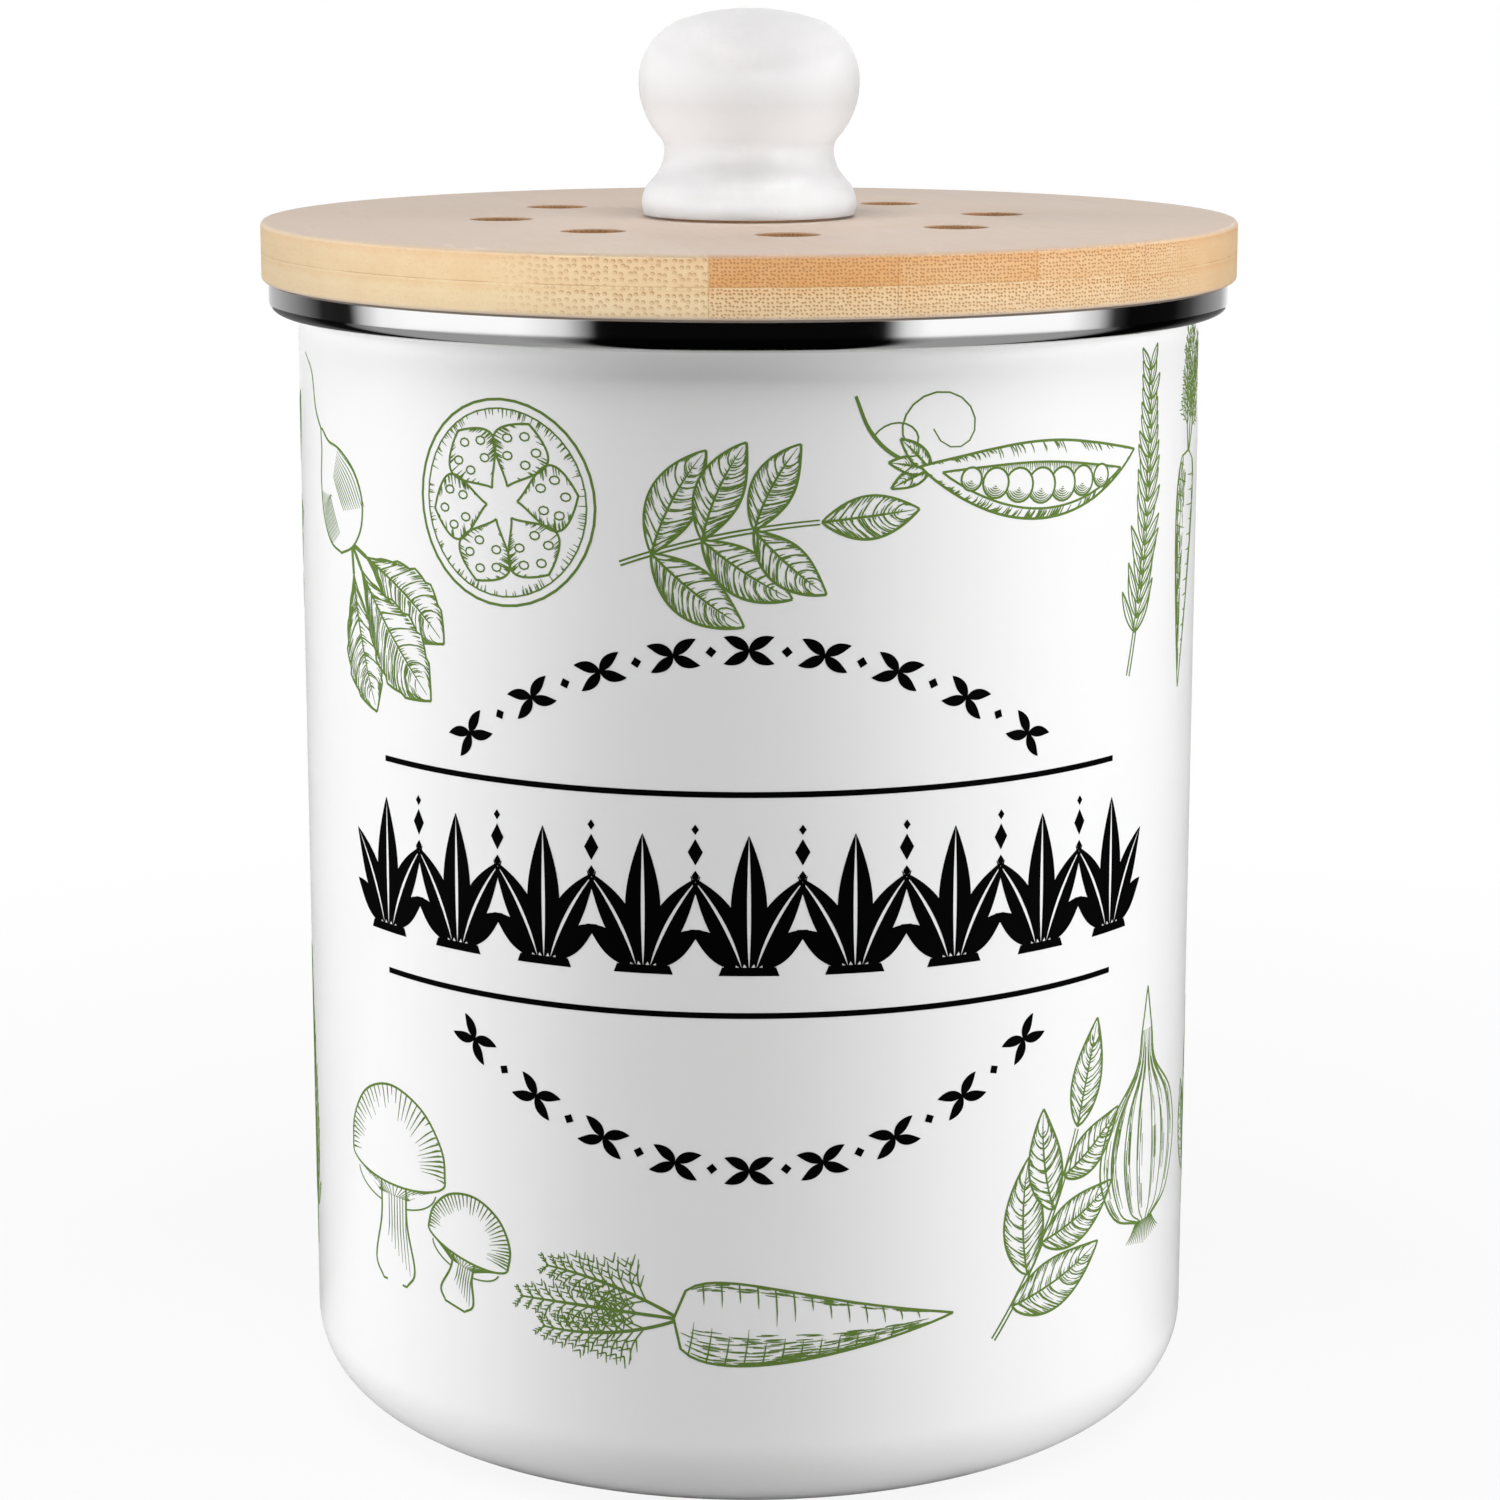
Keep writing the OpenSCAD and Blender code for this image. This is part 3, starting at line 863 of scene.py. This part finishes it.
def profile(length, width, bend=0.0, fullness=0.8, steps=24, root=0, heading=0):
    """A tapered, bent shape such as a leaf, by the share along it, and across it from -1 to 1."""
    way, spine, ways = turned(heading), [0j], []
    for k in range(steps + 1):
        ways.append(turned(math.degrees(bend) * k / steps))
        spine.append(spine[-1] + ways[-1] * length / steps)

    def at(t, u=0):
        t = min(max(t, 0.0), 1.0)
        k = min(int(t * steps), steps - 1)
        swell = math.sin(math.pi * t ** fullness) ** 0.9 if 0 < t < 1 else 0.0
        middle = spine[k] + (spine[k + 1] - spine[k]) * (t * steps - k)
        return root + way * (middle + 1j * ways[k] * width / 2 * swell * u)

    return at


def closed(shape, steps):
    """A tapered shape's outline, out along one side and back along the other."""
    shares = [k / steps for k in range(steps + 1)]
    return [shape(t, 1) for t in shares] + [shape(1 - t, -1) for t in shares]


def mirrored_path(path):
    """A path's image on the other side of the middle, in reverse."""
    return [-p.conjugate() for p in reversed(path)]


# Widths of the engraved lines and of the frieze's rules in millimetres
OUTLINE, VEIN, HATCH, RULE = 0.4, 0.29, 0.21, 1.03


def leaf(pen, root, heading, length, width, bend=0.3, teeth=0, veins=6, fullness=0.8, shade=0.62):
    """An engraved leaf: outline, midrib, side veins, and hatching from its edges and its midrib."""
    at = profile(length, width, bend, fullness, root=root, heading=heading)

    def rib(t, side, *across):
        return [at(t + 0.17 * u ** 1.5, side * u) for u in across]

    def edge(side):
        steps = teeth * 4 or 26
        notches = [1 + (0.16 * (1 - (k / steps * teeth) % 1) - 0.08) * (teeth > 0 and 0 < k < steps)
                   for k in range(steps + 1)]
        return [at(k / steps, side * notch) for k, notch in enumerate(notches)]

    upper, lower = edge(1), edge(-1)
    pen.stroke(upper, OUTLINE)
    pen.stroke(lower, OUTLINE * 1.2)
    pen.stroke([at(k / 20, 0.05) for k in range(20)], OUTLINE, end=0.2)
    for side, depth in ((1, shade * 0.6), (-1, shade)):
        for k in range(veins):
            pen.stroke(rib(0.06 + 0.78 * k / veins, side, 0, 0.25, 0.5, 0.75, 1), VEIN, end=0.4)
        pitch = 0.56 / length
        for k in range(int(0.84 / pitch)):
            t = pitch * (k + pen.vary(0, 1))
            inner = 0.97 - depth * pen.vary(0.25, 1)
            pen.hatch(rib(t, side, 0.97, (0.97 + inner) / 2, inner))
            if pen.vary(0, 1) < 0.8:
                outer = pen.vary(0.12, 0.15 + depth)
                pen.hatch(rib(t, side, 0.02, outer / 2, outer))
    pen.mask(upper + lower[::-1])


def berry(pen, centre, radius):
    """A round fruit with a few curved hatches on its shaded side."""
    outline = ring_path(centre, radius, steps=20)
    pen.stroke(outline, OUTLINE)
    for k in range(int(radius * 2.2)):
        inner = radius - 0.42 * (k + 1)
        if inner > 0.3:
            pen.hatch(ring_path(centre, inner, 205 + 12 * k, 335 - 8 * k, steps=7), 0.4, 0.4)
    pen.mask(outline)


def stem_lines(pen, stem, gap=0.35):
    """Both edges of a stem."""
    path = [stem(k / 25) for k in range(25)]
    ways = [b - a for a, b in zip(path, path[1:])]
    for side in (gap, -gap):
        edge = [p + 1j * side * way / abs(way) for p, way in zip(path, ways + ways[-1:])]
        pen.stroke(edge, OUTLINE * 0.85, end=0.8)


def sprig(pen, leaves, length, leaf_length, leaf_width, bend, spread, pairs=False, berries=0, **kind):
    """A stem with leaves that shrink towards its tip."""
    stem = profile(length, 1, bend)
    turn = math.degrees(bend)
    leaf(pen, stem(0.97), turn, leaf_length * 0.85, leaf_width * 0.85, 0.1, **kind)
    for k in reversed(range(leaves)):
        t = 0.16 + 0.74 * k / leaves
        size = 1.05 - 0.35 * t
        side = 1 if k % 2 else -1
        if k < berries:
            stalk = [stem(t + 0.06), stem(t + 0.06) + turned(turn * t - side * 58) * 3.6]
            berry(pen, stalk[1] + turned(turn * t - side * 50) * 2.0, 2.2)
            pen.curve(stalk, OUTLINE, steps=3)
        for side in ((1, -1) if pairs else (side,)):
            heading = turn * t + side * (spread + pen.vary(-7, 7))
            leaf(pen, stem(t), heading, leaf_length * size, leaf_width * size, -0.35 * side, **kind)
    stem_lines(pen, stem)


def bay(pen):
    sprig(pen, 5, 38, 21, 8.6, 0.35, 46, veins=7)


def olive(pen):
    sprig(pen, 5, 50, 18, 4.6, 0.5, 34, pairs=True, berries=5, veins=4)


def sage(pen):
    sprig(pen, 3, 36, 20, 8.6, -0.3, 60, pairs=True, veins=7, fullness=0.95)


def rosemary(pen):
    """A stem crowded with narrow needles."""
    stem = profile(56, 1, 0.35)
    for k in reversed(range(19)):
        t = 0.14 + 0.046 * k
        for side in (1, -1):
            heading = math.degrees(0.35) * t + side * pen.vary(30, 52)
            needle = profile(9.5 - 4.5 * t, 1.7, -0.3 * side, 0.9, 8, root=stem(t), heading=heading)
            left, right = ([needle(j / 8, u) for j in range(9)] for u in (1, -1))
            pen.stroke(left, OUTLINE * 0.8)
            pen.stroke(right, OUTLINE * 1.1)
            pen.hatch([needle(j / 5, -0.1) for j in range(5)], end=0.5)
            pen.mask(left + right[::-1])
    stem_lines(pen, stem, 0.45)


def pea_pod(pen):
    """An open pod with a row of peas, its cap and a tendril."""
    pod = profile(52, 14, 0.55, 1.0)
    slit = profile(43, 8.4, 0.46, 1.0, root=4.5)
    for k in range(7):
        t = 0.14 + 0.12 * k
        berry(pen, slit(t), 3.2 * math.sin(math.pi * t) ** 0.5)
    lip, rim = closed(slit, 24), closed(pod, 28)
    pen.stroke(lip, OUTLINE)
    for k in range(90):
        t = 0.03 + 0.0105 * k
        pen.hatch([slit(t, 0.97), slit(t, 0.97 - pen.vary(0.15, 0.6))], end=0.3)
    pen.mask(lip)
    pen.stroke(rim, OUTLINE * 1.15)
    for side, count in ((-1, 105), (1, 55)):
        for _ in range(count):
            t, depth = pen.vary(0.03, 0.95), pen.vary(0.12, 0.34)
            leans = ((0, 0), (0.012, 0.5), (0.02, 1))
            pen.hatch([pod(t + lean, side * (0.97 - depth * share)) for lean, share in leans])
    pen.mask(rim)
    for heading in (146, 180, 214):
        leaf(pen, 2, heading, 8, 3.2, 0.2, veins=2)
    pen.curve([0, -6 + 1j, -11 + 4j, -15 + 9j], 0.7, end=0.8, steps=5)
    pen.stroke([-9 + 3j + turned(200 - 24 * k) * (1 + 0.2 * k) + (0.5 + 0.3j) * k for k in range(30)],
               OUTLINE * 0.8, 0.8, 0.7)


def plume(pen, root, heading, length, bend):
    """A feathery carrot top."""
    stem = profile(length, 1, bend, root=root, heading=heading)
    for k in range(11):
        t = 0.26 + 0.072 * k
        spray = stem(t)
        for side in (1, -1):
            out = turned(heading + math.degrees(bend) * t + side * (44 + pen.vary(-8, 8)))
            out *= (8.6 - 6.4 * t) * pen.vary(0.85, 1.1)
            pen.curve([spray, spray + out * 0.5, spray + out * turned(side * 12)], VEIN, end=0.5, steps=3)
            for step in (0.35, 0.62, 0.88):
                for fork in (38, -38):
                    twig = [spray + out * step, spray + out * (step + turned(fork) * 0.3)]
                    pen.stroke(twig, VEIN, end=0.5)
    pen.stroke([stem(k / 16) for k in range(17)], 0.6, end=0.5)


def carrot(pen):
    """A tapered root with ringed skin and feathery tops."""
    body = profile(50, 15, 0.12, 0.42)
    rim = closed(body, 30)
    pen.stroke(rim, OUTLINE * 1.15)
    for k in range(26):
        t, side = 0.06 + 0.032 * k, 1 if k % 2 else -1
        inner = pen.vary(0, 0.55)
        ring = [body(t + 0.012 * (1 - u * u), side * u) for u in (0.97, 0.8, (0.8 + inner) / 2, inner)]
        pen.stroke(ring, VEIN, end=0.2)

    def dash(t, u, reach_on):
        pen.hatch([body(t, u), body(t + 0.03, u), body(t + reach_on, u)], 0.6, 0.3)

    for _ in range(230):
        dash(pen.vary(0.03, 0.88), 0.75 * pen.vary(0, 1) ** 1.6 - 0.97, 0.06)
    for _ in range(60):
        dash(pen.vary(0.03, 0.88), pen.vary(0.78, 0.96), 0.05)
    pen.mask(rim)
    for heading, bend, size in ((180, 0.12, 30), (156, 0.45, 26), (206, -0.45, 26)):
        plume(pen, 1.2, heading, size, bend)


def radish(pen):
    """A round root with its tail and a tuft of broad leaves."""
    rim = smooth_path([
        0.6 + 5.2j, 5 + 8.6j, 11 + 8.8j, 17 + 6j, 21.5 + 2j, 25 - 0.4j, 21 - 2.6j, 17 - 6.4j, 11 - 9.2j,
        5 - 8.8j, 0.6 - 5.2j, -0.8 + 0j, 0.6 + 5.2j], 5)
    pen.stroke(rim, OUTLINE * 1.15)
    for k in range(11):
        low, share = 8.6 - 0.78 * k, 1 - 0.03 * k
        pen.curve([3 + 0.35 * k - low * 1j, 10.5 - low * 1.05j * share,
                   17.5 - 0.3 * k - low * 0.66j], HATCH, 0.3, 0.3, 5)
    for k in range(8):
        pen.curve([4 + (7.9 - 0.6 * k) * 1j, 9 + 0.4 * k + (8.3 - 0.7 * k) * 1j,
                   15 - 0.5 * k + (6.6 - 0.6 * k) * 1j], HATCH, 0.3, 0.3, 4)
    pen.mask(rim)
    pen.curve([24 - 0.4j, 30 + 0.4j, 37 - 1.6j, 43 + 1j], 0.5, end=0.3)
    for heading, bend, size in ((182, 0.2, 31), (150, 0.4, 27), (214, -0.4, 27)):
        root = turned(heading) * 6
        leaf(pen, root, heading, size, size * 0.46, bend, teeth=6, veins=6, fullness=1.35)
        pen.curve([0j, root * 1.1], 0.8, steps=4)


def mushroom(pen, tall=1.0):
    """A cap with gills on a stem."""
    cap = smooth_path([-12 + 0j, -11.4 + 5j, -7.2 + 10.3j, 12.6j, 7.2 + 10.3j, 11.4 + 5j, 12 + 0j], 6)
    brim = ring_path(0, 12, 360, 180, 0.24)
    pen.stroke(cap, OUTLINE * 1.1)
    pen.stroke(brim, OUTLINE)
    for k in range(110):
        t = k / 110 + pen.vary(-0.004, 0.004)
        p = cap[min(len(cap) - 1, int(t * len(cap)))]
        inward = pen.vary(0.05, 0.3) * (1 + 0.8 * t)
        pen.hatch([p, p * (1 - inward / 2) + 0.3j, p * (1 - inward) + 0.4j])
    pen.mask(cap + brim)
    for k in range(31):
        tip = turned(184 + 5.7 * k) * 12
        pen.hatch([complex(tip.real * 0.98, tip.imag * 0.24 - 0.1), tip.real * 0.3 - 4.6j], end=0.4)
    foot = -17j * tall
    left = smooth_path([-3.2 - 2.6j, -3.3 + foot * 0.5, -5 + foot * 0.9, -3 + foot - 1.2j], 5)
    sides = left + mirrored_path(left)
    pen.stroke(sides, OUTLINE * 1.1)
    for k in range(7):
        x = 3 - 0.7 * k
        pen.hatch([x - 4.4j, x + foot * 0.55, x * 1.3 + foot * (0.96 - 0.05 * k)], 0.7)
    pen.mask(sides)
    pen.stroke(ring_path(-2j, 10, 185, 355, 0.42), VEIN)


def mushrooms(pen):
    mushroom(pen)
    pen.shift(16 - 9j, -14, 0.66)
    mushroom(pen, 0.8)


def garlic(pen):
    """A bulb of cloves with its neck and root fringe."""
    right = [28j, 1.8 + 21j, 3.6 + 15j, 11.6 + 8j, 14 + 0j, 10 - 7.6j, 2.8 - 10.4j]
    rim = smooth_path(right, 6) + smooth_path(mirrored_path(right), 6)

    def clove(share):
        return smooth_path([complex(p.real * share, p.imag) for p in right[1:]], 6)

    pen.stroke(rim, OUTLINE * 1.15)
    for share in (0.78, 0.5, 0.2, -0.2, -0.5, -0.78):
        pen.stroke(clove(share), VEIN * 1.2, 0.4, 0.8)
    for _ in range(170):
        share = pen.random.choice((-0.97, -0.78, -0.5, -0.2, 0.2, 0.5, 0.78))
        start = pen.vary(0.1, 0.85)
        path = clove(share + pen.vary(0, 0.13))
        k = int(start * (len(path) - 5))
        pen.hatch(path[k:k + 5:2], 0.5, 0.3)
    pen.mask(rim)
    for k in range(17):
        x = -3.2 + 0.4 * k
        tip = x * 1.9 + (abs(x) * 0.4 - 14.4) * 1j
        pen.curve([x * 0.8 - 10j, x * 1.4 - 12j, tip], VEIN, end=0.3, steps=3)


def tomato_slice(pen):
    """A cut tomato: skin, ribs and seeds."""
    pen.stroke(ring_path(0, 16, steps=40), OUTLINE * 1.2)
    pen.stroke(ring_path(0, 14.6, steps=40), VEIN)
    for k in range(6):
        heading = 60 * k + 8
        chamber = profile(10.6, 10.2, 0, 1.35, root=turned(heading) * 2.8, heading=heading)
        for t, u in ((0.42, 0.4), (0.42, -0.4), (0.66, 0.55), (0.66, -0.55), (0.8, 0)):
            seed = ring_path(chamber(t, u), 0.85, squash=0.75, steps=8)
            pen.stroke(seed, VEIN)
            pen.mask(seed)
        pen.stroke(closed(chamber, 20), OUTLINE)
        for _ in range(46):
            t, side = pen.vary(0.15, 0.95), pen.random.choice((1, -1))
            pen.hatch([chamber(t, side * u) for u in (0.98, 0.86, pen.vary(0.55, 0.8))])
    for _ in range(150):
        way = turned(pen.vary(0, 360))
        pen.hatch([way * 14.5, way * (14.5 - pen.vary(0.4, 1.4))], end=0.3)


# Each drawing round the can: what, azimuth from the front in degrees, height in millimetres, turn in
# degrees and size
DRAWINGS = (
    (radish, -57, 168, 126, 0.92), (tomato_slice, -30, 179, 0, 1.1), (sage, -15, 170, 20, 1.0),
    (pea_pod, 20, 186, -16, 0.95), (rosemary, 53, 145, 74, 1.0), (carrot, 72, 182, -100, 0.86),
    (garlic, 98, 170, 0, 1.1), (olive, 118, 156, 30, 1.0), (mushrooms, 156, 172, 0, 1.1),
    (bay, 178, 150, 60, 1.0), (tomato_slice, -142, 174, 0, 1.1), (pea_pod, -120, 155, 62, 1.0),
    (sage, -96, 146, 72, 1.0),
    (rosemary, -80, 28, 84, 1.0), (mushrooms, -50, 56, 0, 1.2), (carrot, -9, 38, -5, 1.0),
    (bay, 31, 30, 52, 1.1), (garlic, 60, 54, 0, 1.15), (sage, 80, 36, 66, 1.1),
    (radish, 112, 62, -70, 1.0), (pea_pod, 136, 38, 50, 1.0), (tomato_slice, 172, 52, 0, 1.1),
    (olive, -168, 36, 55, 1.1), (garlic, -136, 48, 0, 1.15), (carrot, -108, 72, -80, 0.9),
)


def bold_leaf(pen, root, heading, length, width, bend=0.0, vein=0.0):
    """A solid leaf, with a bare midrib where one is asked for."""
    shape = profile(length, width, bend, 0.85, root=root, heading=heading)
    for halves in ((1, vein), (-vein, -1)) if vein else ((1, -1),):
        pen.fill(*([shape(k / 20, u) for k in range(21)] for u in halves), 3)


def diamond(pen, centre, wide, tall):
    foot, peak = centre - tall * 0.5j, centre + tall * 0.5j
    pen.fill([foot, centre - wide / 2, peak], [foot, centre + wide / 2, peak], 2)


def sprout(pen):
    """A bold sprout: five leaves over a foot bar."""
    bold_leaf(pen, 1j, 90, 23.5, 6.2, vein=0.11)
    for side in (1, -1):
        bold_leaf(pen, side * 1.2 + 1.2j, 90 - side * 17, 18.5, 5.4, -side * 0.42, 0.11)
        bold_leaf(pen, side * 2.4 + 1.0j, 90 - side * 34, 10.5, 3.9, -side * 0.5)
    pen.fill([-5.2 + 0j, -4.6 + 1.5j], [5.2 + 0j, 4.6 + 1.5j], 6)


def frieze(pen, foot, pitch, count):
    """Sprouts in a row, with diamonds between them."""
    for k in range(count):
        pen.origin, pen.scale = (k - (count - 1) / 2) * pitch + foot * 1j, 1
        sprout(pen)
        if k < count - 1:
            pen.origin += pitch / 2
            for height, wide, tall in ((21.5, 2.6, 4.6), (25.4, 1.3, 1.8), (17.4, 1.3, 1.8)):
                diamond(pen, height * 1j, wide, tall)


def rule(pen, height, reach_out):
    """A level line over a span of azimuths."""
    pen.move(0, height)
    span = math.radians(reach_out) * CAN_R / MM
    pen.stroke([span * (k - 40) / 40 + 0j for k in range(81)], RULE)


def garland(pen, middle, ends, reach_out, count=17):
    """Small leaves and dots along an arc, from its middle height to the height of its ends."""
    span = math.radians(reach_out) * CAN_R / MM
    for k in range(count):
        place = 2 * k / (count - 1) - 1
        slope = math.degrees(math.atan2(2 * (ends - middle) * place, span))
        pen.move(place * reach_out, middle + (ends - middle) * place ** 2, slope)
        if k % 2:
            diamond(pen, 0j, 1.9, 1.9)
        else:
            for side in (1, -1):
                for heading in (90, -90):
                    bold_leaf(pen, 0j, heading + side * 48, 4.9, 1.9, side * 0.5)


def fire(pen, name, material, lift):
    """Wraps a drawing round the can as a thin layer of fired ink."""
    deselect()
    outside = CAN_R + lift
    spots = [(p.real * MM / CAN_R, p.imag * MM) for p in pen.points]
    mesh = bpy.data.meshes.new(name)
    wrapped = [(outside * math.sin(a), -outside * math.cos(a), z) for a, z in spots]
    mesh.from_pydata(wrapped, [], pen.faces)
    piece = bpy.data.objects.new(name, mesh)
    bpy.context.scene.collection.objects.link(piece)
    activate(piece)
    edit("VERT")
    weld(MM / 10000)
    bpy.ops.object.mode_set(mode="OBJECT")
    layer = piece.modifiers.new("Layer", "SOLIDIFY")
    layer.thickness, layer.offset = lift, -1
    fit(finished(piece), "can", material, "enamel")


class CADDY_OT_garden_print(Maker):
    """Draw the green kitchen-garden plants round the can, in an upper and a lower band"""

    bl_idname = "caddy.garden_print"
    bl_label = "Garden print"

    def make(self, s, look):
        green = ink("green_ink", look.leaf[:])
        pens = {}
        for draw, azimuth, height, turn, size in DRAWINGS:
            band = "upper" if height * MM > MID_CAN else "lower"
            side = "front" if abs(azimuth) < 90 else "back"
            pen = pens.setdefault(f"garden_print_{band}_{side}", Pen(len(pens) + 11))
            pen.move(azimuth, height, turn, size)
            draw(pen)
        for name, pen in pens.items():
            fire(pen, name, green, s.print_lift)


class CADDY_OT_frieze(Maker):
    """Print the black frieze of sprouts between its two rules, and the garlands over and under it"""

    bl_idname = "caddy.frieze"
    bl_label = "Black frieze"

    def make(self, s, look):
        black = ink("black_ink", look.black[:])
        pen = Pen(3)
        frieze(pen, 99.5, 18.2, 9)
        rule(pen, 131, 50)
        rule(pen, 92.5, 50)
        fire(pen, "frieze_print", black, s.print_lift)
        pen = Pen(3)
        garland(pen, 155.7, 138.5, 35)
        garland(pen, 65, 84, 35)
        fire(pen, "garland_print", black, s.print_lift)


# ---------------- stage


CAMERA_PLACE = (0, -0.7019, 0.2703)
CAMERA_TILT = 10.62
CAMERA_LENS = 90.392
CAMERA_SHIFT = (0.0006, -0.0609)
# Soft boxes: name, azimuth from the front and height angle in degrees, distance, width and height in
# metres, height that they are aimed at in millimetres, spread of the light in degrees, watts
SOFT_BOXES = (
    ("left_box", -90, 9, 1.1, 0.7, 0.6, 103, 180, 13.4),
    ("right_box", 77, 9, 1.1, 0.7, 0.6, 103, 180, 12.0),
    ("top_box", -2, 70, 1.0, 0.8, 0.8, 103, 180, 11.3),
    ("lid_beam", -2, 1, 1.1, 0.2, 0.058, 236, 1, 0.028),
)
ROOM_LIGHT = 0.02
# What polished pieces mirror all round, from behind over the left, the front and the right to behind again
ROOM = (
    (0.0, 1.0), (0.03, 0.75), (0.06, 0.55), (0.08, 0.47), (0.103, 0.37), (0.125, 0.27), (0.148, 0.14),
    (0.168, 0.02), (0.204, 0.01), (0.217, 0.6), (0.235, 1.1), (0.264, 1.2), (0.35, 1.2), (0.38, 0.85),
    (0.402, 0.003), (0.588, 0.003), (0.6, 0.85), (0.615, 1.2), (0.72, 1.2), (0.745, 0.7), (0.76, 0.04),
    (0.775, 0.003), (0.83, 0.005), (0.852, 0.05), (0.875, 0.19), (0.9, 0.32), (0.92, 0.42), (0.942, 0.8),
    (0.965, 1.2), (1.0, 1.2),
)
# Share of the room's tones that the floor glows with for glossy rays only, as a painted reflection of the
# room that polished pieces mirror
FLOOR_PAINTED_REFLECTION = 0.3


def mirrored(graph, x, y):
    """The room's tone in a direction from the caddy."""
    round_the_room = x.arctan(y * -1) / (2 * math.pi) + 0.5
    return graph.ramp(round_the_room, ROOM)


class CADDY_OT_stage(Maker):
    """Set the pale floor, the soft boxes, the room and the camera"""

    bl_idname = "caddy.stage"
    bl_label = "Stage"

    def make(self, s, look):
        self.floor(look)
        self.room()
        for box in SOFT_BOXES:
            self.soft_box(*box)
        self.camera()

    def floor(self, look):
        """A white floor that still takes the caddy's shadow, and glows with a painted reflection of the
        room for glossy rays.
        """
        deselect()
        bpy.ops.mesh.primitive_circle_add(vertices=96, radius=1.5, fill_type="NGON")
        floor = named("floor")
        graph = new_material("pale_floor")
        across, along, _ = graph.axes(graph.place())
        far = ((across * across + along * along) ** 0.5).above(0.3, 0.3)
        seen = graph.node("LightPath")
        glossy = Value(graph, seen.socket.node.outputs["Is Glossy Ray"])
        lit = graph.node("BsdfDiffuse", {}, {"Color": opaque(look.floor[:])})
        white = graph.node("Emission", {}, {"Color": (1, 1, 1, 1), "Strength": 1.0})
        pale = graph.node("MixShader", {}, {0: seen * (far * 0.1 + 0.9), 1: lit, 2: white})
        # Painted reflection: to glossy rays the floor glows with the room's tones
        sheen = graph.node("Emission", {}, {"Strength": mirrored(graph, across, along) * FLOOR_PAINTED_REFLECTION})
        graph.close(graph.node("MixShader", {}, {0: glossy, 1: pale, 2: sheen}))
        floor.data.materials.append(graph.owner)

    def room(self):
        """An even dim light, white to the camera, with the walls and cards that polished pieces mirror."""
        world = bpy.data.worlds.new("room")
        bpy.context.scene.world = world
        graph = Graph(world)
        x, y, _ = graph.axes(graph.node("TexCoord"))
        camera = graph.node("LightPath")
        glossy = Value(graph, camera.socket.node.outputs["Is Glossy Ray"])
        light = glossy * mirrored(graph, x, y) + (1 - glossy) * ROOM_LIGHT
        strength = light * (1 - camera) + camera
        white = graph.node("Background", {}, {"Color": (1, 1, 1, 1), "Strength": strength})
        graph.close(white, "OutputWorld")

    def soft_box(self, name, azimuth, rise, distance, wide, tall, aim, spread, watts):
        """An area lamp aimed at the caddy's axis, which polished pieces don't mirror."""
        lamp = bpy.data.lights.new(name, "AREA")
        lamp.shape, lamp.size, lamp.size_y, lamp.energy = "RECTANGLE", wide, tall, watts
        lamp.spread = math.radians(spread)
        box = bpy.data.objects.new(name, lamp)
        bpy.context.scene.collection.objects.link(box)
        turn, rise = math.radians(azimuth), math.radians(rise)
        out = math.cos(rise)
        away = Vector((math.sin(turn) * out, -math.cos(turn) * out, math.sin(rise)))
        box.location = away * distance + Vector((0, 0, aim * MM))
        box.rotation_euler = away.to_track_quat("Z", "Y").to_euler()
        box.visible_glossy = False

    def camera(self):
        lens = bpy.data.cameras.new("camera")
        lens.lens, lens.sensor_width = CAMERA_LENS, 36
        lens.shift_x, lens.shift_y = CAMERA_SHIFT
        lens.clip_start, lens.clip_end = 0.01, 50
        eye = bpy.data.objects.new("camera", lens)
        bpy.context.scene.collection.objects.link(eye)
        eye.location = CAMERA_PLACE
        eye.rotation_euler = (math.radians(90 - CAMERA_TILT), 0, 0)
        bpy.context.scene.camera = eye
        bpy.context.scene.view_settings.view_transform = "Standard"


# ---------------- panel and run


STEPS = ("can", "lid", "knob", "underside", "garden_print", "frieze", "stage")


class CADDY_PT_panel(bpy.types.Panel):
    """Lists the caddy's steps, sizes and colours"""

    bl_idname = "CADDY_PT_panel"
    bl_label = "Compost caddy"
    bl_space_type = "VIEW_3D"
    bl_region_type = "UI"
    bl_category = "Caddy"

    def draw(self, context):
        for step in STEPS:
            self.layout.operator("caddy." + step)
        for group in (context.scene.caddy_sizes, context.scene.caddy_colours):
            for key in group.__annotations__:
                self.layout.prop(group, key)


CLASSES = (
    CaddySizes, CaddyColours, CADDY_OT_can, CADDY_OT_lid, CADDY_OT_knob, CADDY_OT_underside,
    CADDY_OT_garden_print, CADDY_OT_frieze, CADDY_OT_stage, CADDY_PT_panel,
)


def register():
    for each in CLASSES:
        bpy.utils.register_class(each)
    bpy.types.Scene.caddy_sizes = PointerProperty(type=CaddySizes)
    bpy.types.Scene.caddy_colours = PointerProperty(type=CaddyColours)


def unregister():
    del bpy.types.Scene.caddy_colours
    del bpy.types.Scene.caddy_sizes
    for each in reversed(CLASSES):
        bpy.utils.unregister_class(each)


def main():
    register()
    for step in STEPS:
        getattr(bpy.ops.caddy, step)()


if __name__ == "__main__":
    main()
